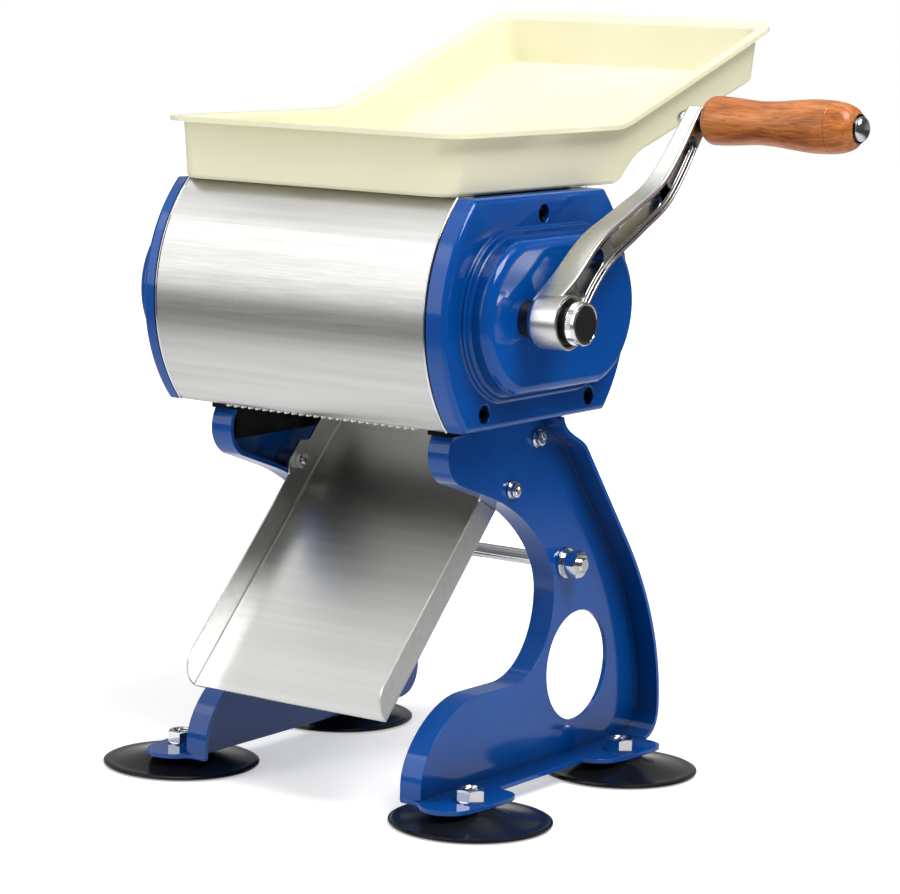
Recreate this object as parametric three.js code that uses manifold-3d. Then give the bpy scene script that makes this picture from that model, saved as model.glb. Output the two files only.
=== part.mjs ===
// Hand cranked slicer: two interleaved blade rollers in a barrel housing, on two pressed
// side frames with suction feet, with a feed tray on top and an outlet chute below.
// Millimetres, +Z up, rollers along X with the crank at +X, chute mouth towards -Y.
import * as THREE from 'three';
import { mergeVertices } from 'three/addons/utils/BufferGeometryUtils.js';
import Module from 'manifold-3d';

const wasm = await Module();
wasm.setup();

// Fits
const seatGap = 0.3;
const runningGap = 0.25;

// Housing barrel
const shellLength = 216;
const shellSheet = 1.5;
const housingBase = 252.5;
const housingHeight = 146;
const barrelRadius = 104.5;
const barrelShift = 1.5;
const barrelLevel = 70;
const topHem = 18;
const bottomHem = 9;

// Side plates that carry the rollers
const sidePlateThickness = 8;
const sidePlateSpan = 170.4;
const lugHalfWidth = 48;
const lugDrop = 28;
const padReach = 61;
const padThickness = 3;
const padOverhang = 5;

// Rollers
const shaftRadius = 10;
const shaftSides = 12;
const axisRise = 71.5;
const axisHeight = housingBase + axisRise;
const gearModule = 3.5;
const gearTeeth = 24;
const sliceWidth = 3;
const frontBladeCount = 25;
const bladeRadius = 45;
const bladeThickness = 1.6;
const spacerRadius = 22;
const bladeSides = 8;
const collarRadius = 16;
const bushSides = 10;
const bushWall = 4;
const bushFlange = 2;
const bushLip = 3;
const gearThickness = 12;
const gearStandoff = 6;

// Combs that strip the blades
const fingerThickness = 2.4;
const combClearance = 1;
const combBarHeight = 5.5;
const combInnerEdge = 22;
const combOuterEdge = 70;
const combTenonDepth = 26;
const nibHeight = 4.6;
const nibWidth = 1.8;
const nibDepth = 4;

// End caps
const capBand = 15;
const capWall = 3;
const capEdgeRound = 3;
const bossHalfLength = 90;
const bossHalfHeight = 54;
const bossFlatHalf = 46;
const bossStepHeight = 3.5;
const bossStepWidth = 5;
const bossStepRound = 1.2;
const bossDepth = 18.5;
const leftCapBand = 10.5;
const leftBossDepth = 23;
const capPostRadius = 8.5;
const capScrewRadius = 3;
const capHeadRadius = 5;
const capHeadHeight = 6;
const counterboreDepth = 8;
const topScrewDrop = 12.5;
const bottomScrewRise = 11;
const bottomScrewReach = 60;

// Side frames
const frameSheet = 3;
const frameSpan = 193;
const frameFlange = 16.5;
const frameBase = 11;
const frameLedge = 2.5;
const frameTop = housingBase - frameLedge;
const hornDrop = 4;
const hornStep = -30;
const shoulder = 47;
const frameFrontFoot = -82;
const frameRear = 178.5;
const heelRound = 24;
const archFloor = 72.6;
const windowHalfDepth = 37;
const windowHalfHeight = 37.5;
const windowCentre = [97, 73.5];

// Feet
const tabReach = 37.5;
const tabLength = 76;
const tabCorner = 15;
const footOffset = 23;
const frontFoot = -59;
const rearFoot = 118;
const cupRadius = 53;
const cupSides = 16;
const studRadius = 4.8;
const nutAcrossFlats = 17;
const nutHeight = 8.5;

// Tie rod and frame screws
const tieRodRadius = 5;
const tieRodDrop = 103.5;
const tieRodPlace = [78, frameTop - tieRodDrop];
const washerRadius = 10.4;
const washerThickness = 2.2;
const smallScrewRadius = 3;
const smallHeadRadius = 5;
const smallHeadHeight = 4;
const housingScrewDrop = 15;
const housingScrewPlace = [40, frameTop - housingScrewDrop];

// Chute
const chuteWidth = 158.6;
const chuteSheet = 1.5;
const chuteSlope = 46;
const chuteLength = 228;
const chuteLipDrop = 184.5;
const chuteLip = [-95.5, frameTop - chuteLipDrop];
const chuteFlange = 20.5;
const chuteNose = 16;
const chuteEarHeight = 28;
const chuteEarStart = 160;
const chuteEarEnd = 192;
const chuteEarRise = 8;
const chuteScrewAlong = 174.3;
const chuteScrewAbove = 18.9;
const spacerTubeRadius = 7;

// Crank
const hubRadius = 17.5;
const hubGap = 0.5;
const hubLead = 1;
const hubLength = 24.5;
const armLength = 208.5;
const armAngle = 35;
const armHubThickness = 20;
const armTipThickness = 12;
const armHubHalfWidth = 12.3;
const armTipHalfWidth = 8;
const armCrest = [0.278 * armLength, 5.5];
const armTrough = [0.71 * armLength, -11];
const railThickness = 5;
const slotSpans = [[0.12, 0.297], [0.35, 0.671], [0.724, 0.906]];
const tipReach = 6;
const drivenEndRadius = 8;
const knobRadius = 13.6;
const knobLength = 13.5;
const knobRecess = 2.5;
const recessRadius = 15;
const insertRadius = 11.6;
const insertDepth = 2;
const collarBushRadius = 11;
const collarBushOut = 7;

// Handle
const gripLength = 111;
const gripGap = 4;
const gripRadius = 17.4;
const spindleRadius = 5;
const rivetRadius = 6;
const rivetHeight = 5;
const domeRadius = 8;
const domeHeight = 7;

// Feed tray
const trayFloorHalf = 108;
const trayDraft = 0.09;
const trayWall = 3;
const trayFront = -84;
const trayKnee = 104;
const trayRear = 292;
const trayDepth = 40;
const trayRearDepth = 37;
const trayIncline = 18.5;
const stepReach = 50;
const stepRise = 25;
const trayCorner = 9;
const lipCorner = 14;
const lipReach = 7.5;
const lipThickness = 3;
const throatHalfWidth = 74;
const throatHalfDepth = 24;
const neckDepth = 24;

// Places worked out from the sizes above
const shaftSpacing = gearModule * gearTeeth;
const frontAxis = -shaftSpacing / 2;
const rearAxis = shaftSpacing / 2;
const housingTop = housingBase + housingHeight;
const shellEnd = shellLength / 2;
const plateInner = sidePlateSpan / 2;
const plateOuter = plateInner + sidePlateThickness;
const webOuter = frameSpan / 2;
const webInner = webOuter - frameSheet;
const capInner = shellEnd + seatGap;
const capFace = shellEnd + capBand;
const bossFace = capFace + bossDepth;
const hubStart = bossFace + collarBushOut + hubGap;
const armInnerFace = hubStart + hubLead;
const gripStart = armInnerFace + armTipThickness + gripGap;
const leftCapFace = shellEnd + leftCapBand;
const leftBossFace = leftCapFace + leftBossDepth;
const bladePitch = 2 * sliceWidth;
const capScrewPlaces = [
  ['top', 1, housingTop - topScrewDrop],
  ['front', -bottomScrewReach, housingBase + bottomScrewRise],
  ['rear', bottomScrewReach, housingBase + bottomScrewRise],
];
const footX = webOuter + footOffset;

// Materials
const paint = (color, roughness, metalness) =>
  new THREE.MeshStandardMaterial({ color, roughness, metalness });
const bluePaint = paint(0x0a47a0, 0.25, 0.1);
const brushedSteel = paint(0xc4c4c2, 0.35, 0.9);
const plateAlloy = paint(0xb0b2b4, 0.4, 0.9);
const castAlloy = paint(0xdcdcd8, 0.15, 0.9);
const chrome = paint(0xe4e4e6, 0.1, 1);
const hardSteel = paint(0xa8a9ab, 0.3, 1);
const bronze = paint(0xb08a4a, 0.35, 0.9);
const whitePlastic = paint(0xf4f4f0, 0.35, 0);
const creamPlastic = paint(0xece8cc, 0.3, 0);
const blackRubber = paint(0x101012, 0.4, 0);
const blackPlastic = paint(0x141416, 0.5, 0);
const blackSteel = paint(0x1c1c1e, 0.35, 0.8);
const wood = paint(0xa8602c, 0.4, 0);

// Solids and transforms

/** Drops the triangles that have two corners on one vertex. */
function cleanIndex(index) {
  const kept = [];
  for (let i = 0; i < index.length; i += 3) {
    const [a, b, c] = [index[i], index[i + 1], index[i + 2]];
    if (a !== b && b !== c && c !== a) kept.push(a, b, c);
  }
  return new Uint32Array(kept);
}

/** Turns a closed geometry into a solid for cutting and joining. */
function solid(geometry) {
  const bare = geometry.clone();
  bare.deleteAttribute('normal');
  bare.deleteAttribute('uv');
  const merged = mergeVertices(bare, 1e-4);
  return new wasm.Manifold(new wasm.Mesh({
    numProp: 3,
    vertProperties: new Float32Array(merged.attributes.position.array),
    triVerts: cleanIndex(merged.index.array),
  }));
}

/** Turns a solid back into a geometry. */
function geometryOf(body) {
  const mesh = body.getMesh();
  const geometry = new THREE.BufferGeometry();
  geometry.setAttribute('position', new THREE.BufferAttribute(mesh.vertProperties, 3));
  geometry.setIndex(new THREE.BufferAttribute(mesh.triVerts, 1));
  return geometry;
}

const join = (...parts) => geometryOf(parts.map(solid).reduce((sum, part) => sum.add(part)));
const cut = (base, ...tools) =>
  geometryOf(tools.map(solid).reduce((rest, tool) => rest.subtract(tool), solid(base)));
const overlap = (a, b) => geometryOf(solid(a).intersect(solid(b)));

/** The mirror image across the YZ plane. */
function mirrored(geometry) {
  const image = mergeVertices(bareCopy(geometry), 1e-4);
  image.scale(-1, 1, 1);
  const index = image.index.array;
  for (let i = 0; i < index.length; i += 3) {
    [index[i + 1], index[i + 2]] = [index[i + 2], index[i + 1]];
  }
  return image;
}

function bareCopy(geometry) {
  const copy = geometry.clone();
  copy.deleteAttribute('normal');
  copy.deleteAttribute('uv');
  return copy;
}

const sideways = new THREE.Matrix4().makeBasis(
  new THREE.Vector3(0, 1, 0), new THREE.Vector3(0, 0, 1), new THREE.Vector3(1, 0, 0));

/** Extrudes an outline drawn in (y, z) from one x to another. */
function alongX(shape, from, to, bevel = 0) {
  const steps = bevel > 2 ? 2 : 1;
  const geometry = new THREE.ExtrudeGeometry(shape, {
    depth: to - from - 2 * bevel, bevelEnabled: bevel > 0, bevelThickness: bevel,
    bevelSize: bevel, bevelOffset: -bevel, bevelSegments: steps, curveSegments: 5,
  });
  geometry.translate(0, 0, from + bevel);
  return geometry.applyMatrix4(sideways);
}

/** Extrudes an outline drawn in (x, y) from one z to another. */
function alongZ(shape, from, to) {
  const geometry = new THREE.ExtrudeGeometry(shape, {
    depth: to - from, bevelEnabled: false, curveSegments: 3,
  });
  return geometry.translate(0, 0, from);
}

/** Revolves [x, radius] stations round an X axis at (y, z). */
function turnedX(stations, y, z, sides) {
  const profile = stations.map(([x, radius]) => new THREE.Vector2(radius, x));
  const geometry = new THREE.LatheGeometry(profile, sides);
  return geometry.rotateZ(-Math.PI / 2).translate(0, y, z);
}

/** Revolves [z, radius] stations round a Z axis at (x, y). */
function turnedZ(stations, x, y, sides) {
  const profile = stations.map(([z, radius]) => new THREE.Vector2(radius, z));
  const geometry = new THREE.LatheGeometry(profile, sides);
  return geometry.rotateX(Math.PI / 2).translate(x, y, 0);
}

/** A plain round bar or, as a tool, a hole along X. */
const rodX = (x0, x1, radius, y, z, sides = 10) =>
  turnedX([[x0, 0], [x0, radius], [x1, radius], [x1, 0]], y, z, sides);

const boxOf = ([x0, x1], [y0, y1], [z0, z1]) =>
  new THREE.BoxGeometry(x1 - x0, y1 - y0, z1 - z0)
    .translate((x0 + x1) / 2, (y0 + y1) / 2, (z0 + z1) / 2);

/** The radius that puts a round hole's flats a given distance from its axis. */
const boreRadius = (radius, gap, sides) => (radius + gap) / Math.cos(Math.PI / sides);

// Outlines

const vec = (a, b) => new THREE.Vector2(a, b);
const shapeOf = (points) => new THREE.Shape(points);

/** Moves an open path to its left by a distance. */
function offsetPath(points, distance) {
  return points.map((point, i) => {
    const before = points[Math.max(i - 1, 0)];
    const after = points[Math.min(i + 1, points.length - 1)];
    const first = (i === 0 ? after : point).clone().sub(i === 0 ? point : before).normalize();
    const second = (i === points.length - 1 ? point : after).clone()
      .sub(i === points.length - 1 ? before : point).normalize();
    const along = first.clone().add(second).normalize();
    const miter = distance / Math.max(along.dot(first), 0.5);
    return vec(point.x - along.y * miter, point.y + along.x * miter);
  });
}

/** The closed outline of a sheet that follows a path, its thickness to the path's left. */
const ribbon = (points, thickness) =>
  shapeOf([...points, ...offsetPath(points, thickness).reverse()]);

/** Points of a circular hole. */
function circleHole(y, z, radius, sides = 10) {
  const path = new THREE.Path();
  for (let i = 0; i <= sides; i += 1) {
    const angle = 2 * Math.PI * i / sides;
    const point = [y + radius * Math.cos(angle), z + radius * Math.sin(angle)];
    if (i === 0) path.moveTo(...point);
    else path.lineTo(...point);
  }
  return path;
}

/** The front arc of the barrel from top to bottom, drawn inwards by an inset. */
function barrelArc(inset, steps = 14) {
  const radius = barrelRadius - inset;
  const level = housingBase + barrelLevel;
  const high = Math.asin((housingTop - inset - level) / radius);
  const low = Math.asin((housingBase + inset - level) / radius);
  const points = [];
  for (let i = 0; i <= steps; i += 1) {
    const angle = high + (low - high) * i / steps;
    points.push(vec(-barrelShift - radius * Math.cos(angle), level + radius * Math.sin(angle)));
  }
  return points;
}

/** The whole barrel outline, anticlockwise. */
function barrelOutline(inset, steps) {
  const front = barrelArc(inset, steps);
  const rear = front.map((point) => vec(-point.x, point.y)).reverse();
  return [...front, ...rear];
}

/** The outline of the raised boss over the gears. */
function bossOutline(inset) {
  const length = bossHalfLength - inset;
  const height = bossHalfHeight - inset;
  const flat = bossFlatHalf;
  const sagitta = length - flat;
  const radius = (height ** 2 + sagitta ** 2) / (2 * sagitta);
  const half = Math.asin(height / radius);
  const points = [];
  for (const side of [-1, 1]) {
    for (let i = 0; i <= 6; i += 1) {
      const angle = half - 2 * half * i / 6;
      const reach = length - radius + radius * Math.cos(angle);
      points.push(vec(side * reach, axisHeight - side * -1 * radius * Math.sin(angle) * -1));
    }
  }
  return points;
}

/** Maps chute coordinates, along and above its floor, to (y, z). */
function chutePoint(along, above) {
  const slope = THREE.MathUtils.degToRad(chuteSlope);
  return vec(
    chuteLip[0] + along * Math.cos(slope) - above * Math.sin(slope),
    chuteLip[1] + along * Math.sin(slope) + above * Math.cos(slope),
  );
}

const chuteScrewPlace = chutePoint(chuteScrewAlong, chuteScrewAbove).toArray();

const group = new THREE.Group();

/** Adds one named piece to the model. */
function piece(name, geometry, material) {
  const mesh = new THREE.Mesh(geometry, material);
  mesh.name = name;
  group.add(mesh);
}

const sides = [['right', 1], ['left', -1]];
const sided = (geometry, side) => (side > 0 ? geometry : mirrored(geometry));

// Side frames

/** The inner edge of a frame: horn, wide arch and front leg, from the top down. */
function frameFrontPath() {
  const path = new THREE.Path();
  path.moveTo(-56, frameTop - hornDrop);
  path.bezierCurveTo(-63, frameTop - hornDrop - 10, -62, frameTop - 28, -48, frameTop - 36);
  path.lineTo(-10, frameTop - 49);
  path.bezierCurveTo(24, frameTop - 61, 66, frameTop - 91, 66, frameTop - 123);
  path.bezierCurveTo(66, archFloor + 22.5, 44, archFloor, 18, archFloor);
  path.lineTo(-20, archFloor);
  path.bezierCurveTo(frameFrontFoot + 32, archFloor, frameFrontFoot, archFloor - 26.5,
    frameFrontFoot, frameBase * 2);
  path.lineTo(frameFrontFoot, frameBase);
  return path.getPoints(4);
}

/** The outer edge of a frame: underside, rear leg and shoulder, from the front up. */
function frameRearPath() {
  const path = new THREE.Path();
  path.moveTo(frameFrontFoot, frameBase);
  path.lineTo(frameRear - heelRound, frameBase);
  path.quadraticCurveTo(frameRear, frameBase, frameRear, frameBase + heelRound);
  path.bezierCurveTo(frameRear, archFloor + 9.4, frameRear - 23.8, frameTop - 124.5,
    frameRear - 47, frameTop - 94.5);
  path.lineTo(shoulder + 30, frameTop - 24);
  path.bezierCurveTo(shoulder + 23, frameTop - 15, shoulder + 2, frameTop - 13, shoulder, frameTop);
  return path.getPoints(4);
}

/** A foot's ear at one place along the frame, reaching in under a flange by its own edge. */
function footTab(place, inner) {
  const outer = webOuter + tabReach;
  const [low, high] = [place - tabLength / 2, place + tabLength / 2];
  const tab = new THREE.Shape();
  tab.moveTo(inner, low + tabCorner);
  tab.lineTo(webOuter + 4, low + 8);
  tab.quadraticCurveTo(outer - tabCorner, low - 4, outer - 4, low + tabCorner);
  tab.quadraticCurveTo(outer + 1, place, outer, high - tabCorner);
  tab.quadraticCurveTo(outer, high, outer - tabCorner, high);
  tab.quadraticCurveTo(webOuter + frameFlange + 1, high, webOuter + frameFlange - 1, high + 4);
  tab.lineTo(webInner, high + 4);
  tab.lineTo(webInner, low + tabCorner + 12);
  tab.holes.push(circleHole(footX, place, boreRadius(studRadius, seatGap, 8), 8));
  return alongZ(tab, frameBase, frameBase + frameSheet);
}

function frameGeometry() {
  const front = frameFrontPath();
  const rear = frameRearPath();
  const web = shapeOf([...front, ...rear.slice(1), vec(hornStep, frameTop),
    vec(hornStep, frameTop - hornDrop)]);
  const window = new THREE.Path();
  window.absellipse(...windowCentre, windowHalfDepth, windowHalfHeight, 0, 2 * Math.PI);
  web.holes.push(
    new THREE.Path(window.getPoints(9)),
    circleHole(...housingScrewPlace, boreRadius(smallScrewRadius, seatGap, 8), 8),
    circleHole(...chuteScrewPlace, boreRadius(smallScrewRadius, seatGap, 8), 8),
    circleHole(...tieRodPlace, boreRadius(tieRodRadius, seatGap, 10)),
  );
  return join(
    alongX(web, webInner, webOuter),
    alongX(ribbon(front, frameSheet), webOuter - frameFlange, webOuter),
    alongX(ribbon(rear, frameSheet), webInner, webOuter + frameFlange),
    footTab(frontFoot, webOuter - frameFlange),
    footTab(rearFoot, webInner),
  );
}

const frame = frameGeometry();
for (const [name, side] of sides) piece(`frame_${name}`, sided(frame, side), bluePaint);

// Suction feet

const hex = (radius) => [...Array(6).keys()].map((i) =>
  vec(radius * Math.cos(i * Math.PI / 3), radius * Math.sin(i * Math.PI / 3)));

function cupGeometry(place) {
  const top = frameBase - seatGap;
  const bore = boreRadius(studRadius, seatGap, 8);
  return cut(
    turnedZ([[4, 0], [0, cupRadius - 6], [0, cupRadius - 2], [1.4, cupRadius],
      [5.6, cupRadius - 16], [9, cupRadius - 34], [top, cupRadius - 38], [top, 0]],
    footX, place, cupSides),
    turnedZ([[5.8, 0], [5.8, bore], [frameBase * 2, bore], [frameBase * 2, 0]], footX, place, 8),
  );
}

function footBoltGeometry(place) {
  const seat = frameBase + frameSheet + seatGap;
  const nut = alongZ(shapeOf(hex(nutAcrossFlats / Math.sqrt(3))), seat, seat + nutHeight);
  const stud = turnedZ([[6.1, 0], [6.1, studRadius], [seat + 1, studRadius], [seat + 1, 0]],
    0, 0, 8);
  const crown = seat + nutHeight;
  const recess = turnedZ([[crown - 2, 0], [crown - 2, studRadius], [crown + 1, studRadius + 1.5],
    [crown + 1, 0]], 0, 0, 8);
  return cut(join(nut, stud), recess).translate(footX, place, 0);
}

for (const [end, place] of [['front', frontFoot], ['rear', rearFoot]]) {
  for (const [name, side] of sides) {
    piece(`foot_cup_${end}_${name}`, sided(cupGeometry(place), side), blackRubber);
    piece(`foot_bolt_${end}_${name}`, sided(footBoltGeometry(place), side), chrome);
  }
}

// Tie rod

const nutSeat = webOuter + seatGap;
const rodEnd = nutSeat + 2 * washerThickness + nutHeight + 3;
piece('tie_rod', rodX(-rodEnd, rodEnd, tieRodRadius, ...tieRodPlace), chrome);

function tieNutGeometry() {
  const nutStart = nutSeat + 2 * washerThickness;
  const bore = boreRadius(tieRodRadius, seatGap, 10);
  const nut = alongX(shapeOf(hex(nutAcrossFlats / Math.sqrt(3))), nutStart, nutStart + nutHeight)
    .translate(0, ...tieRodPlace);
  const washers = turnedX([[nutSeat, 0], [nutSeat, washerRadius],
    [nutSeat + washerThickness, washerRadius], [nutSeat + washerThickness, washerRadius - 2],
    [nutStart + 0.2, washerRadius - 2], [nutStart + 0.2, 0]], ...tieRodPlace, 12);
  return cut(join(nut, washers), rodX(0, rodEnd + 1, bore, ...tieRodPlace));
}

const tieNut = tieNutGeometry();
for (const [name, side] of sides) piece(`tie_nut_${name}`, sided(tieNut, side), chrome);

// Chute

function chuteGeometry() {
  const half = chuteWidth / 2;
  const nose = [4, 3, 2, 1, 0].map((i) => [
    chuteNose * (1 - Math.cos(i * Math.PI / 8)),
    2 * chuteSheet + (chuteFlange - 2 * chuteSheet) * Math.sin(i * Math.PI / 8),
  ]);
  const flange = shapeOf([
    [0, 0], [chuteLength, 0], [chuteLength, chuteFlange], [chuteEarEnd, chuteFlange],
    [chuteEarEnd - chuteEarRise, chuteEarHeight], [chuteEarStart + chuteEarRise, chuteEarHeight],
    [chuteEarStart, chuteFlange], ...nose,
  ].map(([along, above]) => chutePoint(along, above)));
  const floor = shapeOf([[0, 0], [chuteLength, 0], [chuteLength, chuteSheet], [0, chuteSheet]]
    .map(([along, above]) => chutePoint(along, above)));
  const hole = boreRadius(smallScrewRadius, seatGap, 8);
  return cut(
    join(alongX(floor, -half, half), alongX(flange, -half, chuteSheet - half),
      alongX(flange, half - chuteSheet, half)),
    rodX(-half - 2, half + 2, hole, ...chuteScrewPlace, 8),
  );
}

piece('chute', chuteGeometry(), brushedSteel);

/** A socket head screw through the web, from its outer face to a depth inside. */
function webScrew(place, tip, nutAt) {
  const head = webOuter + seatGap;
  const stations = [[tip, 0], [tip, smallScrewRadius]];
  if (nutAt !== undefined) {
    stations.push([nutAt - 5, smallScrewRadius], [nutAt - 5, 6], [nutAt, 6]);
    stations.push([nutAt, smallScrewRadius]);
  }
  stations.push([head, smallScrewRadius], [head, smallHeadRadius],
    [head + smallHeadHeight, smallHeadRadius], [head + smallHeadHeight, 0]);
  const socket = alongX(shapeOf(hex(2.5)), head + 1.5, head + smallHeadHeight + 1)
    .translate(0, ...place);
  return cut(turnedX(stations, ...place, 8), socket);
}

const chuteInner = chuteWidth / 2 - chuteSheet;
const chuteScrew = webScrew(chuteScrewPlace, chuteInner - 7, chuteInner - seatGap);
const spacerFrom = chuteWidth / 2 + seatGap;
const spacerTo = webInner - seatGap;
const spacerBore = boreRadius(smallScrewRadius, seatGap, 8);
const chuteSpacer = turnedX([[spacerFrom, spacerBore], [spacerFrom, spacerTubeRadius],
  [spacerTo, spacerTubeRadius], [spacerTo, spacerBore], [spacerFrom, spacerBore]],
...chuteScrewPlace, 8);
const housingScrew = webScrew(housingScrewPlace, plateInner + 1);
for (const [name, side] of sides) {
  piece(`chute_screw_${name}`, sided(chuteScrew, side), chrome);
  piece(`chute_spacer_${name}`, sided(chuteSpacer, side), plateAlloy);
  piece(`housing_screw_${name}`, sided(housingScrew, side), chrome);
}

// Housing shells

function shellGeometry() {
  const arc = barrelArc(0, 12);
  const path = [
    vec(arc[0].x + topHem, housingTop), ...arc,
    vec(arc[arc.length - 1].x + bottomHem, housingBase),
  ];
  return alongX(ribbon(path, shellSheet), -shellEnd, shellEnd);
}

const turnRound = (geometry) => geometry.clone().rotateZ(Math.PI);
piece('front_shell', shellGeometry(), brushedSteel);
piece('rear_shell', turnRound(shellGeometry()), brushedSteel);

// Side plates with roller bushes and comb slots

const bushRadius = shaftRadius + bushWall;
const combBarTop = housingBase + shellSheet + seatGap + combBarHeight;
const combBarBase = housingBase + shellSheet + seatGap;
const tenonCentre = (combInnerEdge + combOuterEdge) / 2;
const barPlaces = [['front', -62], ['rear', 62]];
const barHeight = housingTop - 14;
const barRadius = 6;
const barSpigot = 4;

function sidePlateGeometry() {
  const inset = shellSheet + seatGap;
  const plate = alongX(shapeOf(barrelOutline(inset, 6)), plateInner, plateOuter);
  const lug = boxOf([plateInner, plateOuter], [-lugHalfWidth, lugHalfWidth],
    [housingBase - lugDrop, housingBase + 20]);
  const padBase = frameTop - hornDrop + seatGap;
  const pad = boxOf([plateInner - padOverhang, webOuter - 1], [-padReach, hornStep - seatGap],
    [padBase, padBase + padThickness]);
  const tools = [];
  for (const y of [frontAxis, rearAxis]) {
    tools.push(rodX(plateInner - 1, plateOuter + 1, boreRadius(bushRadius, seatGap, bushSides), y,
      axisHeight, bushSides));
  }
  for (const side of [-1, 1]) {
    const depth = combTenonDepth / 2 + seatGap;
    tools.push(boxOf([plateInner - 1, plateOuter + 1],
      [side * tenonCentre - depth, side * tenonCentre + depth],
      [combBarBase - seatGap, combBarTop + seatGap]));
    tools.push(rodX(plateInner - 1, plateOuter + 1, boreRadius(barSpigot, seatGap, 8),
      side * barPlaces[1][1], barHeight, 8));
  }
  tools.push(rodX(plateInner - 1, plateOuter + 1, boreRadius(smallScrewRadius, seatGap, 8),
    ...housingScrewPlace, 8));
  for (const [, y, z] of capScrewPlaces) {
    tools.push(rodX(plateInner + 1, plateOuter + 1, boreRadius(capScrewRadius, seatGap, 8), y, z,
      8));
  }
  return cut(join(plate, lug, pad), ...tools);
}

const sidePlate = sidePlateGeometry();
for (const [name, side] of sides) piece(`side_plate_${name}`, sided(sidePlate, side), blackSteel);

const barShoulder = plateInner - seatGap;
for (const [name, y] of barPlaces) {
  piece(`housing_bar_${name}`, turnedX([[-plateOuter, 0], [-plateOuter, barSpigot],
    [-barShoulder, barSpigot], [-barShoulder, barRadius], [barShoulder, barRadius],
    [barShoulder, barSpigot], [plateOuter, barSpigot], [plateOuter, 0]], y, barHeight, 8),
  plateAlloy);
}

const bushBore = boreRadius(shaftRadius, runningGap, bushSides);
for (const [end, y] of [['front', frontAxis], ['rear', rearAxis]]) {
  const inner = plateInner - seatGap - bushFlange;
  const bush = turnedX([[inner, bushBore], [inner, bushRadius + bushLip],
    [plateInner - seatGap, bushRadius + bushLip], [plateInner - seatGap, bushRadius],
    [plateOuter, bushRadius], [plateOuter, bushBore], [inner, bushBore]], y, axisHeight, bushSides);
  for (const [name, side] of sides) piece(`${end}_bush_${name}`, sided(bush, side), bronze);
}

// Blade rollers

/** A stack of bevelled knives and spacers on one bore, centred on x = 0. */
function bladeStack(count, y) {
  const bore = boreRadius(shaftRadius, seatGap, bladeSides);
  const reach = (count - 1) * bladePitch / 2;
  const end = plateInner - seatGap - bushFlange - 2 * runningGap;
  const stations = [[-end, bore], [-end, collarRadius]];
  const half = bladeThickness / 2;
  stations.push([-reach - bladePitch / 2, collarRadius], [-reach - bladePitch / 2, spacerRadius]);
  for (let i = 0; i < count; i += 1) {
    const x = i * bladePitch - reach;
    stations.push([x - half, spacerRadius], [x, bladeRadius], [x + half, spacerRadius]);
  }
  stations.push([reach + bladePitch / 2, spacerRadius], [reach + bladePitch / 2, collarRadius]);
  stations.push([end, collarRadius], [end, bore], [-end, bore]);
  return turnedX(stations, y, axisHeight, bladeSides);
}

piece('front_blades', bladeStack(frontBladeCount, frontAxis), hardSteel);
piece('rear_blades', bladeStack(frontBladeCount - 1, rearAxis), hardSteel);

// Combs

/** A bar with one finger on each side of every knife of a roller, drawn for the front. */
function combGeometry(bladeCount, axis, nibbed) {
  const fingers = bladeCount + 1;
  const reach = (fingers - 1) * bladePitch / 2;
  const parts = [
    boxOf([1 - plateInner, plateInner - 1], [-combOuterEdge, -combInnerEdge],
      [combBarBase, combBarTop]),
    boxOf([-plateOuter, plateOuter],
      [-tenonCentre - combTenonDepth / 2, -tenonCentre + combTenonDepth / 2],
      [combBarBase, combBarTop]),
  ];
  const step = 50;
  const clear = (spacerRadius + combClearance) / Math.cos(THREE.MathUtils.degToRad(step / 2));
  const finger = [vec(-combInnerEdge, combBarTop - 1)];
  for (let i = 0; i <= 2; i += 1) {
    const angle = -THREE.MathUtils.degToRad(30 + step * i);
    finger.push(vec(axis + clear * Math.cos(angle), axisHeight + clear * Math.sin(angle)));
  }
  finger.push(vec(-combOuterEdge + 4, combBarTop - 1));
  for (let i = 0; i < fingers; i += 1) {
    const x = i * bladePitch - reach;
    parts.push(alongX(shapeOf(finger.slice().reverse()), x - fingerThickness / 2,
      x + fingerThickness / 2));
    if (nibbed) {
      parts.push(boxOf([x - nibWidth / 2, x + nibWidth / 2],
        [-combOuterEdge, nibDepth - combOuterEdge],
        [combBarBase - nibHeight, combBarBase + 1]));
    }
  }
  return join(...parts);
}

piece('front_comb', combGeometry(frontBladeCount, frontAxis, true), whitePlastic);
piece('rear_comb', turnRound(combGeometry(frontBladeCount - 1, frontAxis, false)), whitePlastic);

// Shafts

const shaftLeft = -plateOuter - 7;
const hubEnd = hubStart + hubLength;
const stemRadius = 4;
const stemBore = boreRadius(stemRadius, seatGap, shaftSides);
piece('drive_shaft', turnedX([[shaftLeft, 0], [shaftLeft, shaftRadius], [hubStart - 1, shaftRadius],
  [hubStart - 1, drivenEndRadius], [hubEnd - 4, drivenEndRadius], [hubEnd - 4, stemBore],
  [hubStart + 5, stemBore], [hubStart + 5, 0]], frontAxis, axisHeight, shaftSides), hardSteel);

const gearFrom = plateOuter + gearStandoff;
const gearTo = gearFrom + gearThickness;
piece('driven_shaft', rodX(shaftLeft, gearTo + 5, shaftRadius, rearAxis, axisHeight, shaftSides),
  hardSteel);

// Gears

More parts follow.
